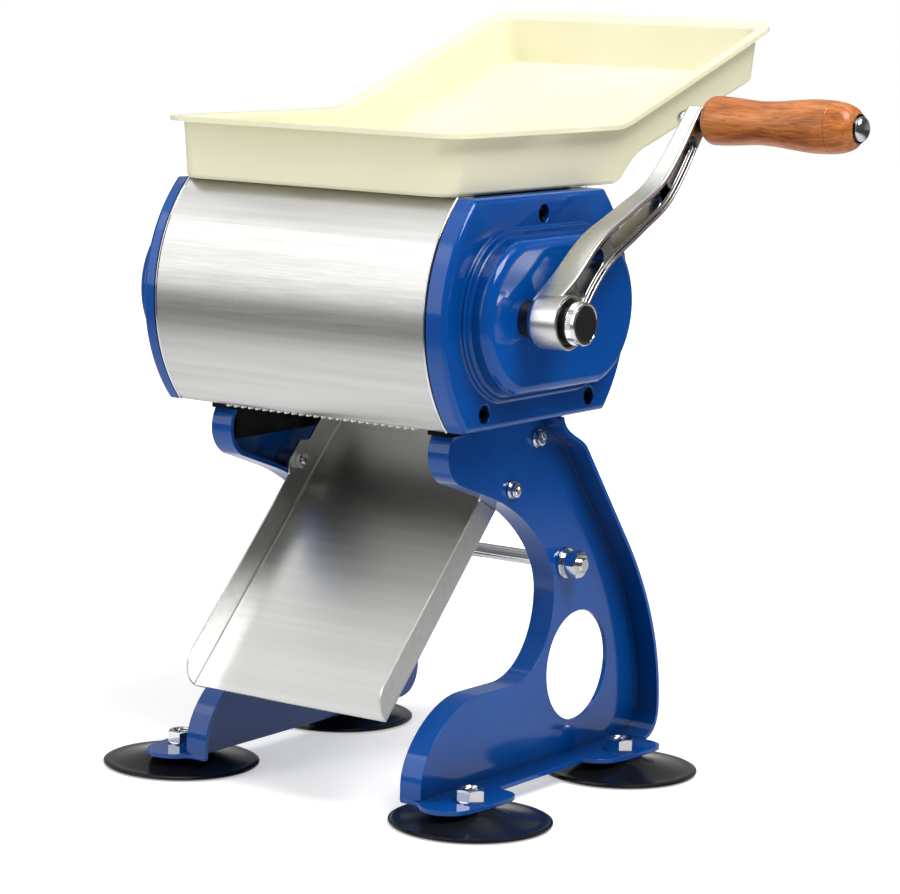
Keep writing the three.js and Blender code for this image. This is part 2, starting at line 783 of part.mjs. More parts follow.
/** A spur gear centred on (y, axisHeight), turned by a share of a tooth. */
function gearGeometry(y, phase) {
  const pitchRadius = gearModule * gearTeeth / 2;
  const tip = pitchRadius + 0.9 * gearModule;
  const root = pitchRadius - 1.15 * gearModule;
  const step = 2 * Math.PI / gearTeeth;
  const points = [];
  for (let i = 0; i < gearTeeth; i += 1) {
    const centre = (i + phase) * step;
    for (const [radius, share] of [[root, -0.34], [tip, -0.12], [tip, 0.12], [root, 0.34]]) {
      const angle = centre + share * step;
      points.push(vec(y + radius * Math.cos(angle), axisHeight + radius * Math.sin(angle)));
    }
  }
  const outline = shapeOf(points);
  outline.holes.push(circleHole(y, axisHeight, boreRadius(shaftRadius, seatGap, 12), 12));
  return alongX(outline, gearFrom, gearTo);
}

piece('drive_gear', gearGeometry(frontAxis, 0), hardSteel);
piece('driven_gear', gearGeometry(rearAxis, 0.5), hardSteel);

// End caps

function capGeometry(face, boss, shaftHole) {
  const screwHole = boreRadius(capScrewRadius, seatGap, 8);
  const body = overlap(
    alongX(shapeOf(barrelOutline(0, 8)), capInner - 20, face, capEdgeRound),
    boxOf([capInner, face + 1], [-barrelRadius - barrelShift, barrelRadius + barrelShift],
      [housingBase - 1, housingTop + 1]),
  );
  const step = alongX(shapeOf(bossOutline(0)), face - 6, face + bossStepHeight, bossStepRound);
  const raised = alongX(shapeOf(bossOutline(bossStepWidth)), face - 6, boss, capEdgeRound);
  const hollow = alongX(shapeOf(barrelOutline(capWall, 6)), capInner - 1, face - capWall);
  const chamber = alongX(shapeOf(bossOutline(bossStepWidth + capWall)), capInner - 1, boss - capWall);
  const shell = cut(join(body, step, raised), hollow, chamber);
  const posts = capScrewPlaces.map(([, y, z]) =>
    rodX(plateOuter + seatGap, face - 1, capPostRadius, y, z, 8));
  const holes = capScrewPlaces.flatMap(([, y, z]) => [
    rodX(plateOuter - 1, face + 1, screwHole, y, z, 8),
    rodX(face - counterboreDepth, face + 1, capHeadRadius + 0.8, y, z, 12),
  ]);
  if (shaftHole > 0) holes.push(rodX(boss - 10, boss + 1, shaftHole, frontAxis, axisHeight, 16));
  return cut(join(shell, ...posts), ...holes);
}

const bushSleeve = collarBushRadius - 0.4;
piece('end_cap_right', capGeometry(capFace, bossFace, bushSleeve + seatGap), bluePaint);
piece('end_cap_left', mirrored(capGeometry(leftCapFace, leftBossFace, 0)), bluePaint);

function capScrewGeometry(face, y, z) {
  const seat = face - counterboreDepth + seatGap;
  const socket = alongX(shapeOf(hex(2.9)), seat + 2.5, face).translate(0, y, z);
  return cut(turnedX([[plateOuter - 5, 0], [plateOuter - 5, capScrewRadius], [seat, capScrewRadius],
    [seat, capHeadRadius], [seat + capHeadHeight, capHeadRadius], [seat + capHeadHeight, 0]],
  y, z, 8), socket);
}

for (const [place, y, z] of capScrewPlaces) {
  piece(`cap_screw_${place}_right`, capScrewGeometry(capFace, y, z), blackSteel);
  piece(`cap_screw_${place}_left`, mirrored(capScrewGeometry(leftCapFace, y, z)), blackSteel);
}

const collarBore = boreRadius(shaftRadius, runningGap, 14);
const collarOut = bossFace + collarBushOut;
piece('shaft_bush', turnedX([[bossFace - capWall, collarBore], [bossFace - capWall, bushSleeve],
  [bossFace + seatGap, bushSleeve], [bossFace + seatGap, collarBushRadius + 1],
  [collarOut, collarBushRadius + 1], [collarOut, collarBore], [bossFace - capWall, collarBore]],
frontAxis, axisHeight, 14), blackPlastic);

// Crank

const armCurve = new THREE.SplineCurve([
  vec(-20, -2), vec(0, 0), vec(...armCrest), vec((armCrest[0] + armTrough[0]) / 2 + 2, -3.6),
  vec(...armTrough), vec(armLength + tipReach, 0.5),
]);

/** Points of the arm's middle line between two distances from the hub. */
function armLine(from, to, steps) {
  const points = [];
  for (let i = 0; i <= steps; i += 1) {
    const reach = from + (to - from) * i / steps;
    let [low, high] = [0, 1];
    for (let k = 0; k < 24; k += 1) {
      const middle = (low + high) / 2;
      if (armCurve.getPoint(middle).x < reach) low = middle;
      else high = middle;
    }
    points.push(armCurve.getPoint((low + high) / 2));
  }
  return points;
}

/** The strip round the arm's middle line, narrowing to the tip, less an edge. */
function armStrip(from, to, steps, edge, endBow) {
  const line = armLine(from, to, steps);
  const halfAt = (point) =>
    armHubHalfWidth + (armTipHalfWidth - armHubHalfWidth) * point.x / armLength - edge;
  const upper = line.map((point) => vec(point.x, point.y + halfAt(point)));
  const lower = line.map((point) => vec(point.x, point.y - halfAt(point)));
  const [first, last] = [line[0], line[line.length - 1]];
  return shapeOf([...lower, vec(last.x + endBow, last.y), ...upper.reverse(),
    vec(first.x - endBow, first.y)]);
}

/** Turns a crank shape drawn along (reach, rise) into place on the front shaft. */
const onCrank = (geometry) =>
  geometry.rotateX(THREE.MathUtils.degToRad(armAngle)).translate(0, frontAxis, axisHeight);

function crankArmGeometry() {
  const outer = armInnerFace + armHubThickness;
  const blade = alongX(armStrip(0, armLength + tipReach, 10, 0, 0.5), armInnerFace, outer);
  const drop = armHubThickness - armTipThickness;
  const taper = new THREE.ExtrudeGeometry(shapeOf([
    vec(outer - drop, armLength + 40), vec(outer - drop, armLength - 8),
    vec(outer, hubRadius + 6), vec(outer + 20, hubRadius + 6), vec(outer + 20, armLength + 40),
  ].reverse()), { depth: 120, bevelEnabled: false }).translate(0, 0, -60);
  const slots = slotSpans.map(([from, to]) =>
    alongX(armStrip(armLength * from + 3, armLength * to - 3, 4, railThickness, 3),
      armInnerFace - 1, outer + 1));
  const arm = cut(blade, taper, ...slots);
  const hub = turnedX([[hubStart, 0], [hubStart, hubRadius - 4], [hubStart + 5, hubRadius],
    [hubEnd - 1, hubRadius], [hubEnd, hubRadius - 1], [hubEnd, 0]], 0, 0, 22);
  const bore = boreRadius(drivenEndRadius, seatGap, 12);
  return onCrank(cut(
    join(arm, hub),
    rodX(hubStart - 1, hubEnd + 1, bore, 0, 0, 12),
    rodX(hubEnd - knobRecess, hubEnd + 1, recessRadius, 0, 0, 22),
    rodX(armInnerFace - 2, outer + 2, boreRadius(spindleRadius, seatGap, 10), armLength, 0),
  ));
}

piece('crank_arm', crankArmGeometry(), castAlloy);

const knobFrom = hubEnd - knobRecess + seatGap;
const knobTo = knobFrom + knobLength;
const pocketRadius = insertRadius + seatGap;
piece('retaining_knob', turnedX([[hubStart + 6, 0], [hubStart + 6, stemRadius],
  [knobFrom, stemRadius], [knobFrom, knobRadius - 1], [knobFrom + 1, knobRadius],
  [knobTo - 1, knobRadius], [knobTo, knobRadius - 1], [knobTo, pocketRadius],
  [knobTo - insertDepth, pocketRadius], [knobTo - insertDepth, 0]],
frontAxis, axisHeight, 16), chrome);
piece('knob_insert', turnedX([[knobTo - insertDepth + seatGap, 0],
  [knobTo - insertDepth + seatGap, insertRadius], [knobTo - 0.4, insertRadius],
  [knobTo, insertRadius - 0.6], [knobTo, 0]], frontAxis, axisHeight, 16), blackPlastic);

// Handle

const tipAngle = THREE.MathUtils.degToRad(armAngle);
const handleY = frontAxis + armLength * Math.cos(tipAngle);
const handleZ = axisHeight + armLength * Math.sin(tipAngle);
const gripEnd = gripStart + gripLength;
const tipFace = armInnerFace + armTipThickness;
const spindleEnd = gripEnd + 3;
const rivetFace = armInnerFace - seatGap;
piece('handle_spindle', turnedX([[rivetFace - rivetHeight, 0],
  [rivetFace - rivetHeight, rivetRadius * 0.35], [rivetFace - rivetHeight * 0.6, rivetRadius * 0.8],
  [rivetFace, rivetRadius], [rivetFace, spindleRadius], [spindleEnd, spindleRadius],
  [spindleEnd, 0]], handleY, handleZ, 10), chrome);

const washerFrom = tipFace + seatGap;
const washerTo = gripStart - seatGap;
const handleBore = boreRadius(spindleRadius, seatGap, 10);
piece('handle_washer', turnedX([[washerFrom, handleBore], [washerFrom, 9], [washerTo, 9],
  [washerTo, handleBore], [washerFrom, handleBore]], handleY, handleZ, 10), blackSteel);

/** The turned wood grip as shares of its length and widest radius: swell, waist, round end. */
const gripProfile = [[0, 0.632], [0.009, 0.799], [0.045, 0.92], [0.153, 0.908], [0.342, 0.822],
  [0.468, 0.851], [0.595, 0.937], [0.721, 1], [0.829, 0.989], [0.91, 0.914], [0.964, 0.782],
  [1, 0.552]];
const gripBore = boreRadius(spindleRadius, runningGap, 14);
piece('handle_grip', turnedX([
  [gripStart, gripBore],
  ...gripProfile.map(([along, share]) => [gripStart + along * gripLength, share * gripRadius]),
  [gripEnd, gripBore], [gripStart, gripBore],
], handleY, handleZ, 14), wood);

const domeFrom = gripEnd + seatGap;
piece('handle_cap_nut', turnedX([[domeFrom, handleBore], [domeFrom, domeRadius],
  [domeFrom + domeHeight * 0.35, domeRadius * 0.95], [domeFrom + domeHeight * 0.75, domeRadius * 0.62],
  [domeFrom + domeHeight, domeRadius * 0.2], [domeFrom + domeHeight, 0],
  [spindleEnd + seatGap, 0], [spindleEnd + seatGap, handleBore], [domeFrom, handleBore]],
handleY, handleZ, 10), chrome);

// Feed tray

const trayBase = housingTop + seatGap;
const rise = Math.tan(THREE.MathUtils.degToRad(trayIncline));

/** The tray's side profile in (y, z), with the floor and end walls moved in by a wall. */
function traySide(wall, raise) {
  const rim = trayBase + trayDepth + raise;
  const rimRear = trayBase + trayDepth + (trayRear - trayKnee + 4) * rise + raise;
  const floorRear = rimRear - raise - trayRearDepth;
  const shape = new THREE.Path();
  shape.moveTo(trayFront + wall, rim);
  shape.lineTo(trayFront + wall, trayBase + wall);
  shape.lineTo(trayKnee + 3, trayBase + wall);
  shape.bezierCurveTo(trayKnee + 18, trayBase + wall + 2, trayKnee + 18, trayBase + wall + 18,
    trayKnee + stepReach, trayBase + wall + stepRise);
  shape.lineTo(trayRear - wall, floorRear + wall);
  shape.lineTo(trayRear - wall, rimRear);
  shape.lineTo(trayKnee + 8, rim + 12 * rise);
  shape.quadraticCurveTo(trayKnee - 4, rim, trayKnee - 14, rim);
  return shape.getPoints(4);
}

/** A plan outline with round corners, centred on x = 0. */
function trayPlan(half, front, rear, corner) {
  const plan = new THREE.Shape();
  plan.moveTo(-half + corner, front);
  plan.lineTo(half - corner, front);
  plan.quadraticCurveTo(half, front, half, front + corner);
  plan.lineTo(half, rear - corner);
  plan.quadraticCurveTo(half, rear, half - corner, rear);
  plan.lineTo(-half + corner, rear);
  plan.quadraticCurveTo(-half, rear, -half, rear - corner);
  plan.lineTo(-half, front + corner);
  plan.quadraticCurveTo(-half, front, -half + corner, front);
  return plan;
}

/** Spreads a tray solid outwards with its height over the tray's own floor. */
function drafted(geometry) {
  const places = geometry.attributes.position;
  for (let i = 0; i < places.count; i += 1) {
    const over = Math.max(0, places.getY(i) - trayKnee + 12) * rise;
    const height = places.getZ(i) - trayBase - over;
    const share = 1 + trayDraft * height / trayFloorHalf;
    places.setX(i, places.getX(i) * share);
  }
  return geometry;
}

/** The rim line of the tray in (y, z), moved out at both ends by the lip. */
function rimPath(reach) {
  const rim = trayBase + trayDepth;
  const rimRear = rim + (trayRear - trayKnee + 4) * rise;
  const path = new THREE.Path();
  path.moveTo(trayRear + reach, rimRear + reach * rise);
  path.lineTo(trayKnee + 8, rim + 12 * rise);
  path.quadraticCurveTo(trayKnee - 4, rim, trayKnee - 14, rim);
  path.lineTo(trayFront - reach, rim);
  return path.getPoints(4);
}

function trayGeometry() {
  const half = trayFloorHalf;
  const tall = [trayBase - neckDepth, trayBase + trayDepth + (trayRear - trayFront) * rise];
  const body = overlap(
    alongX(shapeOf(traySide(0, 0)), -half, half),
    alongZ(trayPlan(half, trayFront, trayRear, trayCorner), ...tall),
  );
  const inside = overlap(
    alongX(shapeOf(traySide(trayWall, 20)), trayWall - half, half - trayWall),
    alongZ(trayPlan(half - trayWall, trayFront + trayWall, trayRear - trayWall,
      trayCorner - trayWall), ...tall),
  );
  const lipHalf = half + trayDepth * trayDraft + lipReach;
  const lip = overlap(
    alongX(ribbon(rimPath(lipReach), lipThickness), -lipHalf, lipHalf),
    alongZ(trayPlan(lipHalf, trayFront - lipReach, trayRear + lipReach, lipCorner), ...tall),
  );
  const neck = boxOf([-throatHalfWidth - trayWall, throatHalfWidth + trayWall],
    [-throatHalfDepth - trayWall, throatHalfDepth + trayWall],
    [trayBase - neckDepth, trayBase + 1]);
  const throat = boxOf([-throatHalfWidth, throatHalfWidth], [-throatHalfDepth, throatHalfDepth],
    [trayBase - neckDepth - 1, trayBase + trayWall + 1]);
  return cut(join(drafted(body), lip, neck), drafted(inside), throat);
}

piece('feed_tray', trayGeometry(), creamPlastic);

// The origin is the middle of the underside of the whole object
const bounds = new THREE.Box3().setFromObject(group, true);
const middle = bounds.getCenter(new THREE.Vector3());
group.position.set(-middle.x, -middle.y, -bounds.min.z);
group.updateMatrixWorld(true);

export default group;
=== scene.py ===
"""Hand cranked slicer: fine pieces, finishes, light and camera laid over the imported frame.

Pieces are drawn in millimetres on the slicer's own datum: x = 0 at the middle of the housing
shells, y = 0 midway between the two rollers, z = 0 on the worktop.
"""
import logging
import math
from dataclasses import dataclass, field
from enum import Enum
from functools import partial
from typing import Callable, Sequence

import bmesh
import bpy
from bmesh.types import BMVert
from mathutils import Matrix, Vector

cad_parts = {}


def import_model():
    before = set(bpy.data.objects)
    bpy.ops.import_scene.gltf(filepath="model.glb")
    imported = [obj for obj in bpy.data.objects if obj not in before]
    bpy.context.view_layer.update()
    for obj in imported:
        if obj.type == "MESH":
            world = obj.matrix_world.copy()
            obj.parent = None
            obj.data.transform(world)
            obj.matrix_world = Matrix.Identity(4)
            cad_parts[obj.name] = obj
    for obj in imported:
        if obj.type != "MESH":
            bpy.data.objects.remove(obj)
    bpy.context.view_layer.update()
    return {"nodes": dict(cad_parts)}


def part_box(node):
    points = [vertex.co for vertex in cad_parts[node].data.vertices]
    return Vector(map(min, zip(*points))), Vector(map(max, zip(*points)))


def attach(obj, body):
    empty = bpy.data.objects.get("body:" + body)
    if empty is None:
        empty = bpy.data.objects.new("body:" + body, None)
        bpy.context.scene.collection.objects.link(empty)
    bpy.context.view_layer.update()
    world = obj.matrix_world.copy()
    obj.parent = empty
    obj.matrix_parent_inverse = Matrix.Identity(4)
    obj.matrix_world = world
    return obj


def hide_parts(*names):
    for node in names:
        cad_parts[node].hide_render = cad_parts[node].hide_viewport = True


log = logging.getLogger("slicer")
Point = tuple[float, float]
Row = list[Vector]
Ring = tuple[float, Sequence[Point]]
Colour = tuple[float, float, float]
Socket = bpy.types.NodeSocket
MM = 0.001
PHOTO_WIDTH = 900
SEAT_GAP = 0.3
SCREW_STEPS = 48
NUT_STEPS = 96
NUT_CHAMFER = math.radians(28)
BROKEN_FROM = math.radians(50)
WHITE = (1.0, 1.0, 1.0, 1.0)
COAT_ROUGHNESS = 0.06


class Side(Enum):
    """The two ends of the slicer, seen from the chute mouth."""

    RIGHT = 1
    LEFT = -1

    @property
    def word(self) -> str:
        """The side's name inside a piece name."""
        return self.name.lower()


class Axis(Enum):
    """The line that a turned or extruded piece is drawn along."""

    X = "x"
    Z = "z"

    @property
    def direction(self) -> Vector:
        """The unit vector of the axis."""
        return Vector((1, 0, 0)) if self is Axis.X else Vector((0, 0, 1))

    def place(self, along: float, u: float, v: float) -> Vector:
        """Puts a distance along the axis and two across it into x, y and z."""
        return Vector((along, u, v)) if self is Axis.X else Vector((u, v, along))


# Outlines


def bezier(points: Sequence[Point], steps: int) -> list[Point]:
    """Samples one Bezier curve.

    Args:
        points: its control points, three for a quadratic and four for a cubic.
        steps: the number of equal steps.

    Returns:
        The points after the first one.
    """
    found = []
    for i in range(1, steps + 1):
        level = [Vector(point) for point in points]
        while len(level) > 1:
            level = [a.lerp(b, i / steps) for a, b in zip(level, level[1:])]
        found.append((level[0].x, level[0].y))
    return found


def traced(start: Point, *runs: tuple[int, Sequence[Point]]) -> list[Point]:
    """Draws a path through Bezier runs; a run with one point is straight.

    Args:
        start: the path's first point.
        runs: the steps of each run, and its control points after the point it starts from.

    Returns:
        The path's points.
    """
    path = [start]
    for steps, points in runs:
        path += bezier([path[-1], *points], steps)
    return path


def rounded(x: float, y: float, radius: float, steps: int) -> list[Point]:
    """An outer fillet that ends square to x at (x, y + radius)."""
    return [(x - radius * (1 - s), y + radius * (1 - c)) for s, c in quarter(steps)]


def circle(u: float, v: float, radius: float, count: int = 32) -> list[Point]:
    """Points round a circle, anticlockwise."""
    turn = 2 * math.pi / count
    return [(u + radius * math.cos(i * turn), v + radius * math.sin(i * turn))
            for i in range(count)]


def discs(at: Point, profile: Sequence[Point], count: int = 32) -> list[Ring]:
    """Circles round a place, one for each (along, radius) point of a profile."""
    return [(along, circle(*at, radius, count)) for along, radius in profile]


def hexagon(u: float, v: float, across: float, count: int = 48) -> list[Point]:
    """Points round a hexagon given across its flats, at equal angles."""
    found = []
    for i in range(count):
        angle = 2 * math.pi * i / count
        off = (angle + math.pi / 6) % (math.pi / 3) - math.pi / 6
        reach = across / 2 / math.cos(math.pi / 6 - abs(off))
        found.append((u + reach * math.cos(angle), v + reach * math.sin(angle)))
    return found


def moved_in(points: Sequence[Point], distance: float, closed: bool = False) -> list[Point]:
    """Moves a path to its left.

    Args:
        points: the path.
        distance: how far each point moves square to the path.
        closed: whether the last point joins the first.

    Returns:
        As many points as came in.
    """
    found = []
    count = len(points)
    for i in range(count):
        here = Vector(points[i])
        first = last = None
        if i > 0 or closed:
            first = (here - Vector(points[i - 1])).normalized()
        if i < count - 1 or closed:
            last = (Vector(points[(i + 1) % count]) - here).normalized()
        first = first or last
        last = last or first
        along = (first + last).normalized()
        reach = distance / max(along.dot(first), 0.5)
        found.append((here.x - along.y * reach, here.y + along.x * reach))
    return found


def resampled(points: Sequence[Point], count: int) -> list[Point]:
    """Spreads a number of points evenly along a path, both ends kept."""
    reach = [0.0]
    for a, b in zip(points, points[1:]):
        reach.append(reach[-1] + (Vector(b) - Vector(a)).length)
    found = []
    for i in range(count):
        goal = reach[-1] * i / (count - 1)
        k = max(j for j in range(len(reach)) if reach[j] <= goal + 1e-9)
        k = min(k, len(points) - 2)
        share = (goal - reach[k]) / (reach[k + 1] - reach[k])
        a, b = Vector(points[k]), Vector(points[k + 1])
        found.append(tuple(a.lerp(b, min(share, 1.0))))
    return found


def quarter(steps: int) -> list[Point]:
    """Sine and cosine at equal steps of a quarter turn, from (0, 1) to (1, 0)."""
    angles = [math.pi / 2 * i / steps for i in range(steps + 1)]
    return [(math.sin(a), math.cos(a)) for a in angles]


def blend(low: float, high: float, share: float) -> float:
    """A value between two others, eased at both ends."""
    share = min(max(share, 0.0), 1.0)
    return low + (high - low) * share * share * (3 - 2 * share)


def cubic(low: float | Vector, high: float | Vector, start: float | Vector,
          end: float | Vector, share: float) -> float | Vector:
    """A point between two others on a curve with the given slopes at both."""
    s2, s3 = share ** 2, share ** 3
    return (low * (2 * s3 - 3 * s2 + 1) + start * (s3 - 2 * s2 + share)
            + high * (3 * s2 - 2 * s3) + end * (s3 - s2))


# Mesh work


class Work:
    """A mesh being shaped, in millimetres on the slicer's datum."""

    def __init__(self) -> None:
        """Starts an empty mesh."""
        self.bm = bmesh.new()

    def sheet(self, rows: Sequence[Row], closed: bool = False) -> list[list[BMVert]]:
        """Lays a grid through rows of points.

        Args:
            rows: rows with the same number of points.
            closed: whether each row is a ring.

        Returns:
            The vertices, row by row.
        """
        width = len(rows[0]) + (1 if closed else 0)
        made = bmesh.ops.create_grid(
            self.bm, x_segments=width - 1, y_segments=len(rows) - 1, size=1.0)["verts"]
        table = [made[i * width:(i + 1) * width] for i in range(len(rows))]
        for line, places in zip(table, rows):
            for vert, place in zip(line, list(places) + list(places[:1])):
                vert.co = place
        if closed:
            bmesh.ops.weld_verts(self.bm, targetmap={line[-1]: line[0] for line in table})
            table = [line[:-1] for line in table]
        return table

    def fill(self, *rings: Sequence[BMVert]) -> None:
        """Closes the flat area between an outer ring of vertices and the rings inside it."""
        edges = []
        for ring in rings:
            for a, b in zip(ring, list(ring[1:]) + [ring[0]]):
                edges.append(self.bm.edges.get((a, b)) or self.bm.edges.new((a, b)))
        bmesh.ops.triangle_fill(self.bm, use_beauty=True, use_dissolve=False, edges=edges)

    def turned(self, profile: Sequence[Point], axis: Axis, at: Point, steps: int = 64,
               closed: bool = False) -> "Work":
        """Spins a profile of (along, radius) points a full turn round an axis.

        Args:
            profile: the profile's points.
            axis: the axis of the spin.
            at: where the axis crosses the plane square to it.
            steps: the number of steps round.
            closed: whether the profile's last point joins its first.

        Returns:
            This mesh.
        """
        verts = [self.bm.verts.new(axis.place(along, at[0] + radius, at[1]))
                 for along, radius in profile]
        pairs = list(zip(verts, verts[1:])) + ([(verts[-1], verts[0])] if closed else [])
        edges = [self.bm.edges.new(pair) for pair in pairs]
        before = set(self.bm.verts) - set(verts)
        bmesh.ops.spin(
            self.bm, geom=verts + edges, cent=axis.place(0, *at), axis=axis.direction,
            dvec=(0, 0, 0), angle=2 * math.pi, steps=steps, use_merge=True,
            use_normal_flip=False, use_duplicate=False)
        fresh = [vert for vert in self.bm.verts if vert not in before]
        bmesh.ops.remove_doubles(self.bm, verts=fresh, dist=1e-4)
        return self

    def skin(self, rings: Sequence[Ring], axis: Axis = Axis.X) -> list[list[BMVert]]:
        """Lays a tube through rings that lie square to an axis, and gives their vertices."""
        return self.sheet([[axis.place(along, *point) for point in ring]
                           for along, ring in rings], closed=True)

    def prism(self, axis: Axis, rings: Sequence[Ring]) -> "Work":
        """Lays a tube through rings, closes both ends and gives this mesh."""
        table = self.skin(rings, axis)
        self.fill(table[0])
        self.fill(table[-1])
        return self

    def joined(self, dist: float = 1e-3) -> None:
        """Merges vertices that share a place and turns every face outwards."""
        bmesh.ops.remove_doubles(self.bm, verts=self.bm.verts, dist=dist)
        bmesh.ops.recalc_face_normals(self.bm, faces=self.bm.faces)


def placed(name: str, data: bpy.types.ID) -> bpy.types.Object:
    """Puts an object with the given data into the scene."""
    made = bpy.data.objects.new(name, data)
    bpy.context.scene.collection.objects.link(made)
    return made


@dataclass(frozen=True)
class Trim:
    """How a laid piece is finished off.

    Args:
        wall: the sheet thickness in millimetres, or 0 for a closed form.
        wall_side: 0 to grow the wall both ways, -1 to grow it inwards.
        edge: the width that sharp edges are broken by, in millimetres.
        steps: the number of steps in a broken edge.
        sharp: the angle in degrees past which an edge stays crisp.
    """

    wall: float = 0.0
    wall_side: float = 0.0
    edge: float = 0.0
    steps: int = 2
    sharp: float = 35.0


@dataclass
class Bench:
    """Takes finished meshes from the slicer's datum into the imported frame."""

    offset: Vector

    @classmethod
    def from_frame(cls) -> "Bench":
        """Finds the datum from the two housing shells."""
        front_low, front_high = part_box("front_shell")
        rear_low, rear_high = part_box("rear_shell")
        x = (front_low.x + front_high.x) / 2
        y = (min(front_low.y, rear_low.y) + max(front_high.y, rear_high.y)) / 2
        return cls(Vector((x, y, 0.0)))

    def point(self, x: float, y: float, z: float) -> Vector:
        """A datum point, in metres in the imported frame."""
        return self.offset + Vector((x, y, z)) * MM

    def lay(self, work: Work, name: str, finish: "Finish", nodes: Sequence[str] = (),
            side: Side = Side.RIGHT, trim: Trim = Trim(), body: str = "housing") -> None:
        """Turns a mesh into a piece of the model.

        Args:
            work: the mesh, drawn for the right-hand side.
            name: the piece's name.
            finish: its material.
            nodes: the frame nodes that it stands for.
            side: the left mirrors the mesh.
            trim: wall thickness, broken edges and crisp angle.
            body: the body that it rides on.
        """
        if side is Side.LEFT:
            work.bm.transform(Matrix.Scale(-1, 4, (1, 0, 0)))
        work.joined()
        work.bm.transform(Matrix.Translation(self.offset) @ Matrix.Scale(MM, 4))
        mesh = bpy.data.meshes.new(name)
        work.bm.to_mesh(mesh)
        work.bm.free()
        mesh.shade_smooth()
        mesh.materials.append(finish.material())
        piece = placed(name, mesh)
        if trim.wall:
            wall = piece.modifiers.new("wall", "SOLIDIFY")
            wall.thickness = trim.wall * MM
            wall.offset = trim.wall_side
            wall.use_even_offset = True
        if trim.edge:
            edge = piece.modifiers.new("edge", "BEVEL")
            edge.width = trim.edge * MM
            edge.segments = trim.steps
            edge.limit_method = "ANGLE"
            edge.angle_limit = BROKEN_FROM
            edge.harden_normals = True
        if not trim.wall and not trim.edge:
            mesh.set_sharp_from_angle(angle=math.radians(trim.sharp))
        else:
            self.crisp(piece, trim.sharp)
        even = piece.modifiers.new("even", "WEIGHTED_NORMAL")
        even.keep_sharp = True
        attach(piece, body)
        if nodes:
            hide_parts(*nodes)
        log.info("%s: %d faces on %s", name, len(mesh.polygons), body)

    @staticmethod
    def crisp(piece: bpy.types.Object, angle: float) -> None:
        """Applies a piece's modifiers and marks its sharp edges."""
        view = bpy.context.evaluated_depsgraph_get()
        done = bpy.data.meshes.new_from_object(piece.evaluated_get(view))
        done.name = piece.name
        piece.modifiers.clear()
        piece.data = done
        done.set_sharp_from_angle(angle=math.radians(angle))


# Finishes


class Nodes:
    """Places and links shader nodes in one tree."""

    def __init__(self, tree: bpy.types.NodeTree) -> None:
        """Takes the tree to build in."""
        self.tree = tree

    def add(self, kind: str, inputs: dict[int | str, object] | None = None,
            **settings: object) -> bpy.types.Node:
        """Adds a node.

        Args:
            kind: the node's type name without its ShaderNode prefix.
            inputs: for each input, its value or the output that it is linked to.
            settings: the node's properties.

        Returns:
            The node.
        """
        node = self.tree.nodes.new("ShaderNode" + kind)
        for name, value in settings.items():
            setattr(node, name, value)
        self.give(node, inputs or {})
        return node

    def give(self, node: bpy.types.Node, inputs: dict[int | str, object]) -> None:
        """Sets a node's inputs, each to a value or to the output that it is linked to."""
        for name, given in inputs.items():
            if isinstance(given, Socket):
                self.tree.links.new(given, node.inputs[name])
            else:
                node.inputs[name].default_value = given

    def noise(self, place: Socket, **inputs: object) -> Socket:
        """A noise over a place; its inputs are named as in the node."""
        return self.add("TexNoise", {"Vector": place, **inputs}).outputs["Fac"]

    def math(self, operation: str, first: Socket, second: Socket) -> Socket:
        """Two values under one operation."""
        return self.add("Math", {0: first, 1: second}, operation=operation).outputs["Value"]

    def faded(self, value: Socket, start: float, end: float, low: float, high: float) -> Socket:
        """A soft change from low to high as a value goes from start to end."""
        return self.add("MapRange", {
            "Value": value, "From Min": start, "From Max": end, "To Min": low, "To Max": high},
            interpolation_type="SMOOTHSTEP").outputs["Result"]

    def ramp(self, value: Socket, *stops: tuple[float, Colour]) -> Socket:
        """A value turned into colours, given as places and colours from low to high."""
        node = self.add("ValToRGB", {"Fac": value})
        elements = node.color_ramp.elements
        for element, (place, colour) in zip(elements, (stops[0], stops[-1])):
            element.position, element.color = place, (*colour, 1)
        for place, colour in stops[1:-1]:
            elements.new(place).color = (*colour, 1)
        return node.outputs["Color"]

    def multiplied(self, first: Socket, second: Socket) -> Socket:
        """Two colours multiplied."""
        return self.add("Mix", {"Factor": 1.0, "A": first, "B": second}, data_type="RGBA",
                        blend_type="MULTIPLY").outputs["Result"]

    def mixed(self, share: Socket, first: Socket, second: Socket) -> Socket:
        """Two shaders mixed by a share of the second."""
        return self.add("MixShader", {"Fac": share, 1: first, 2: second}).outputs["Shader"]


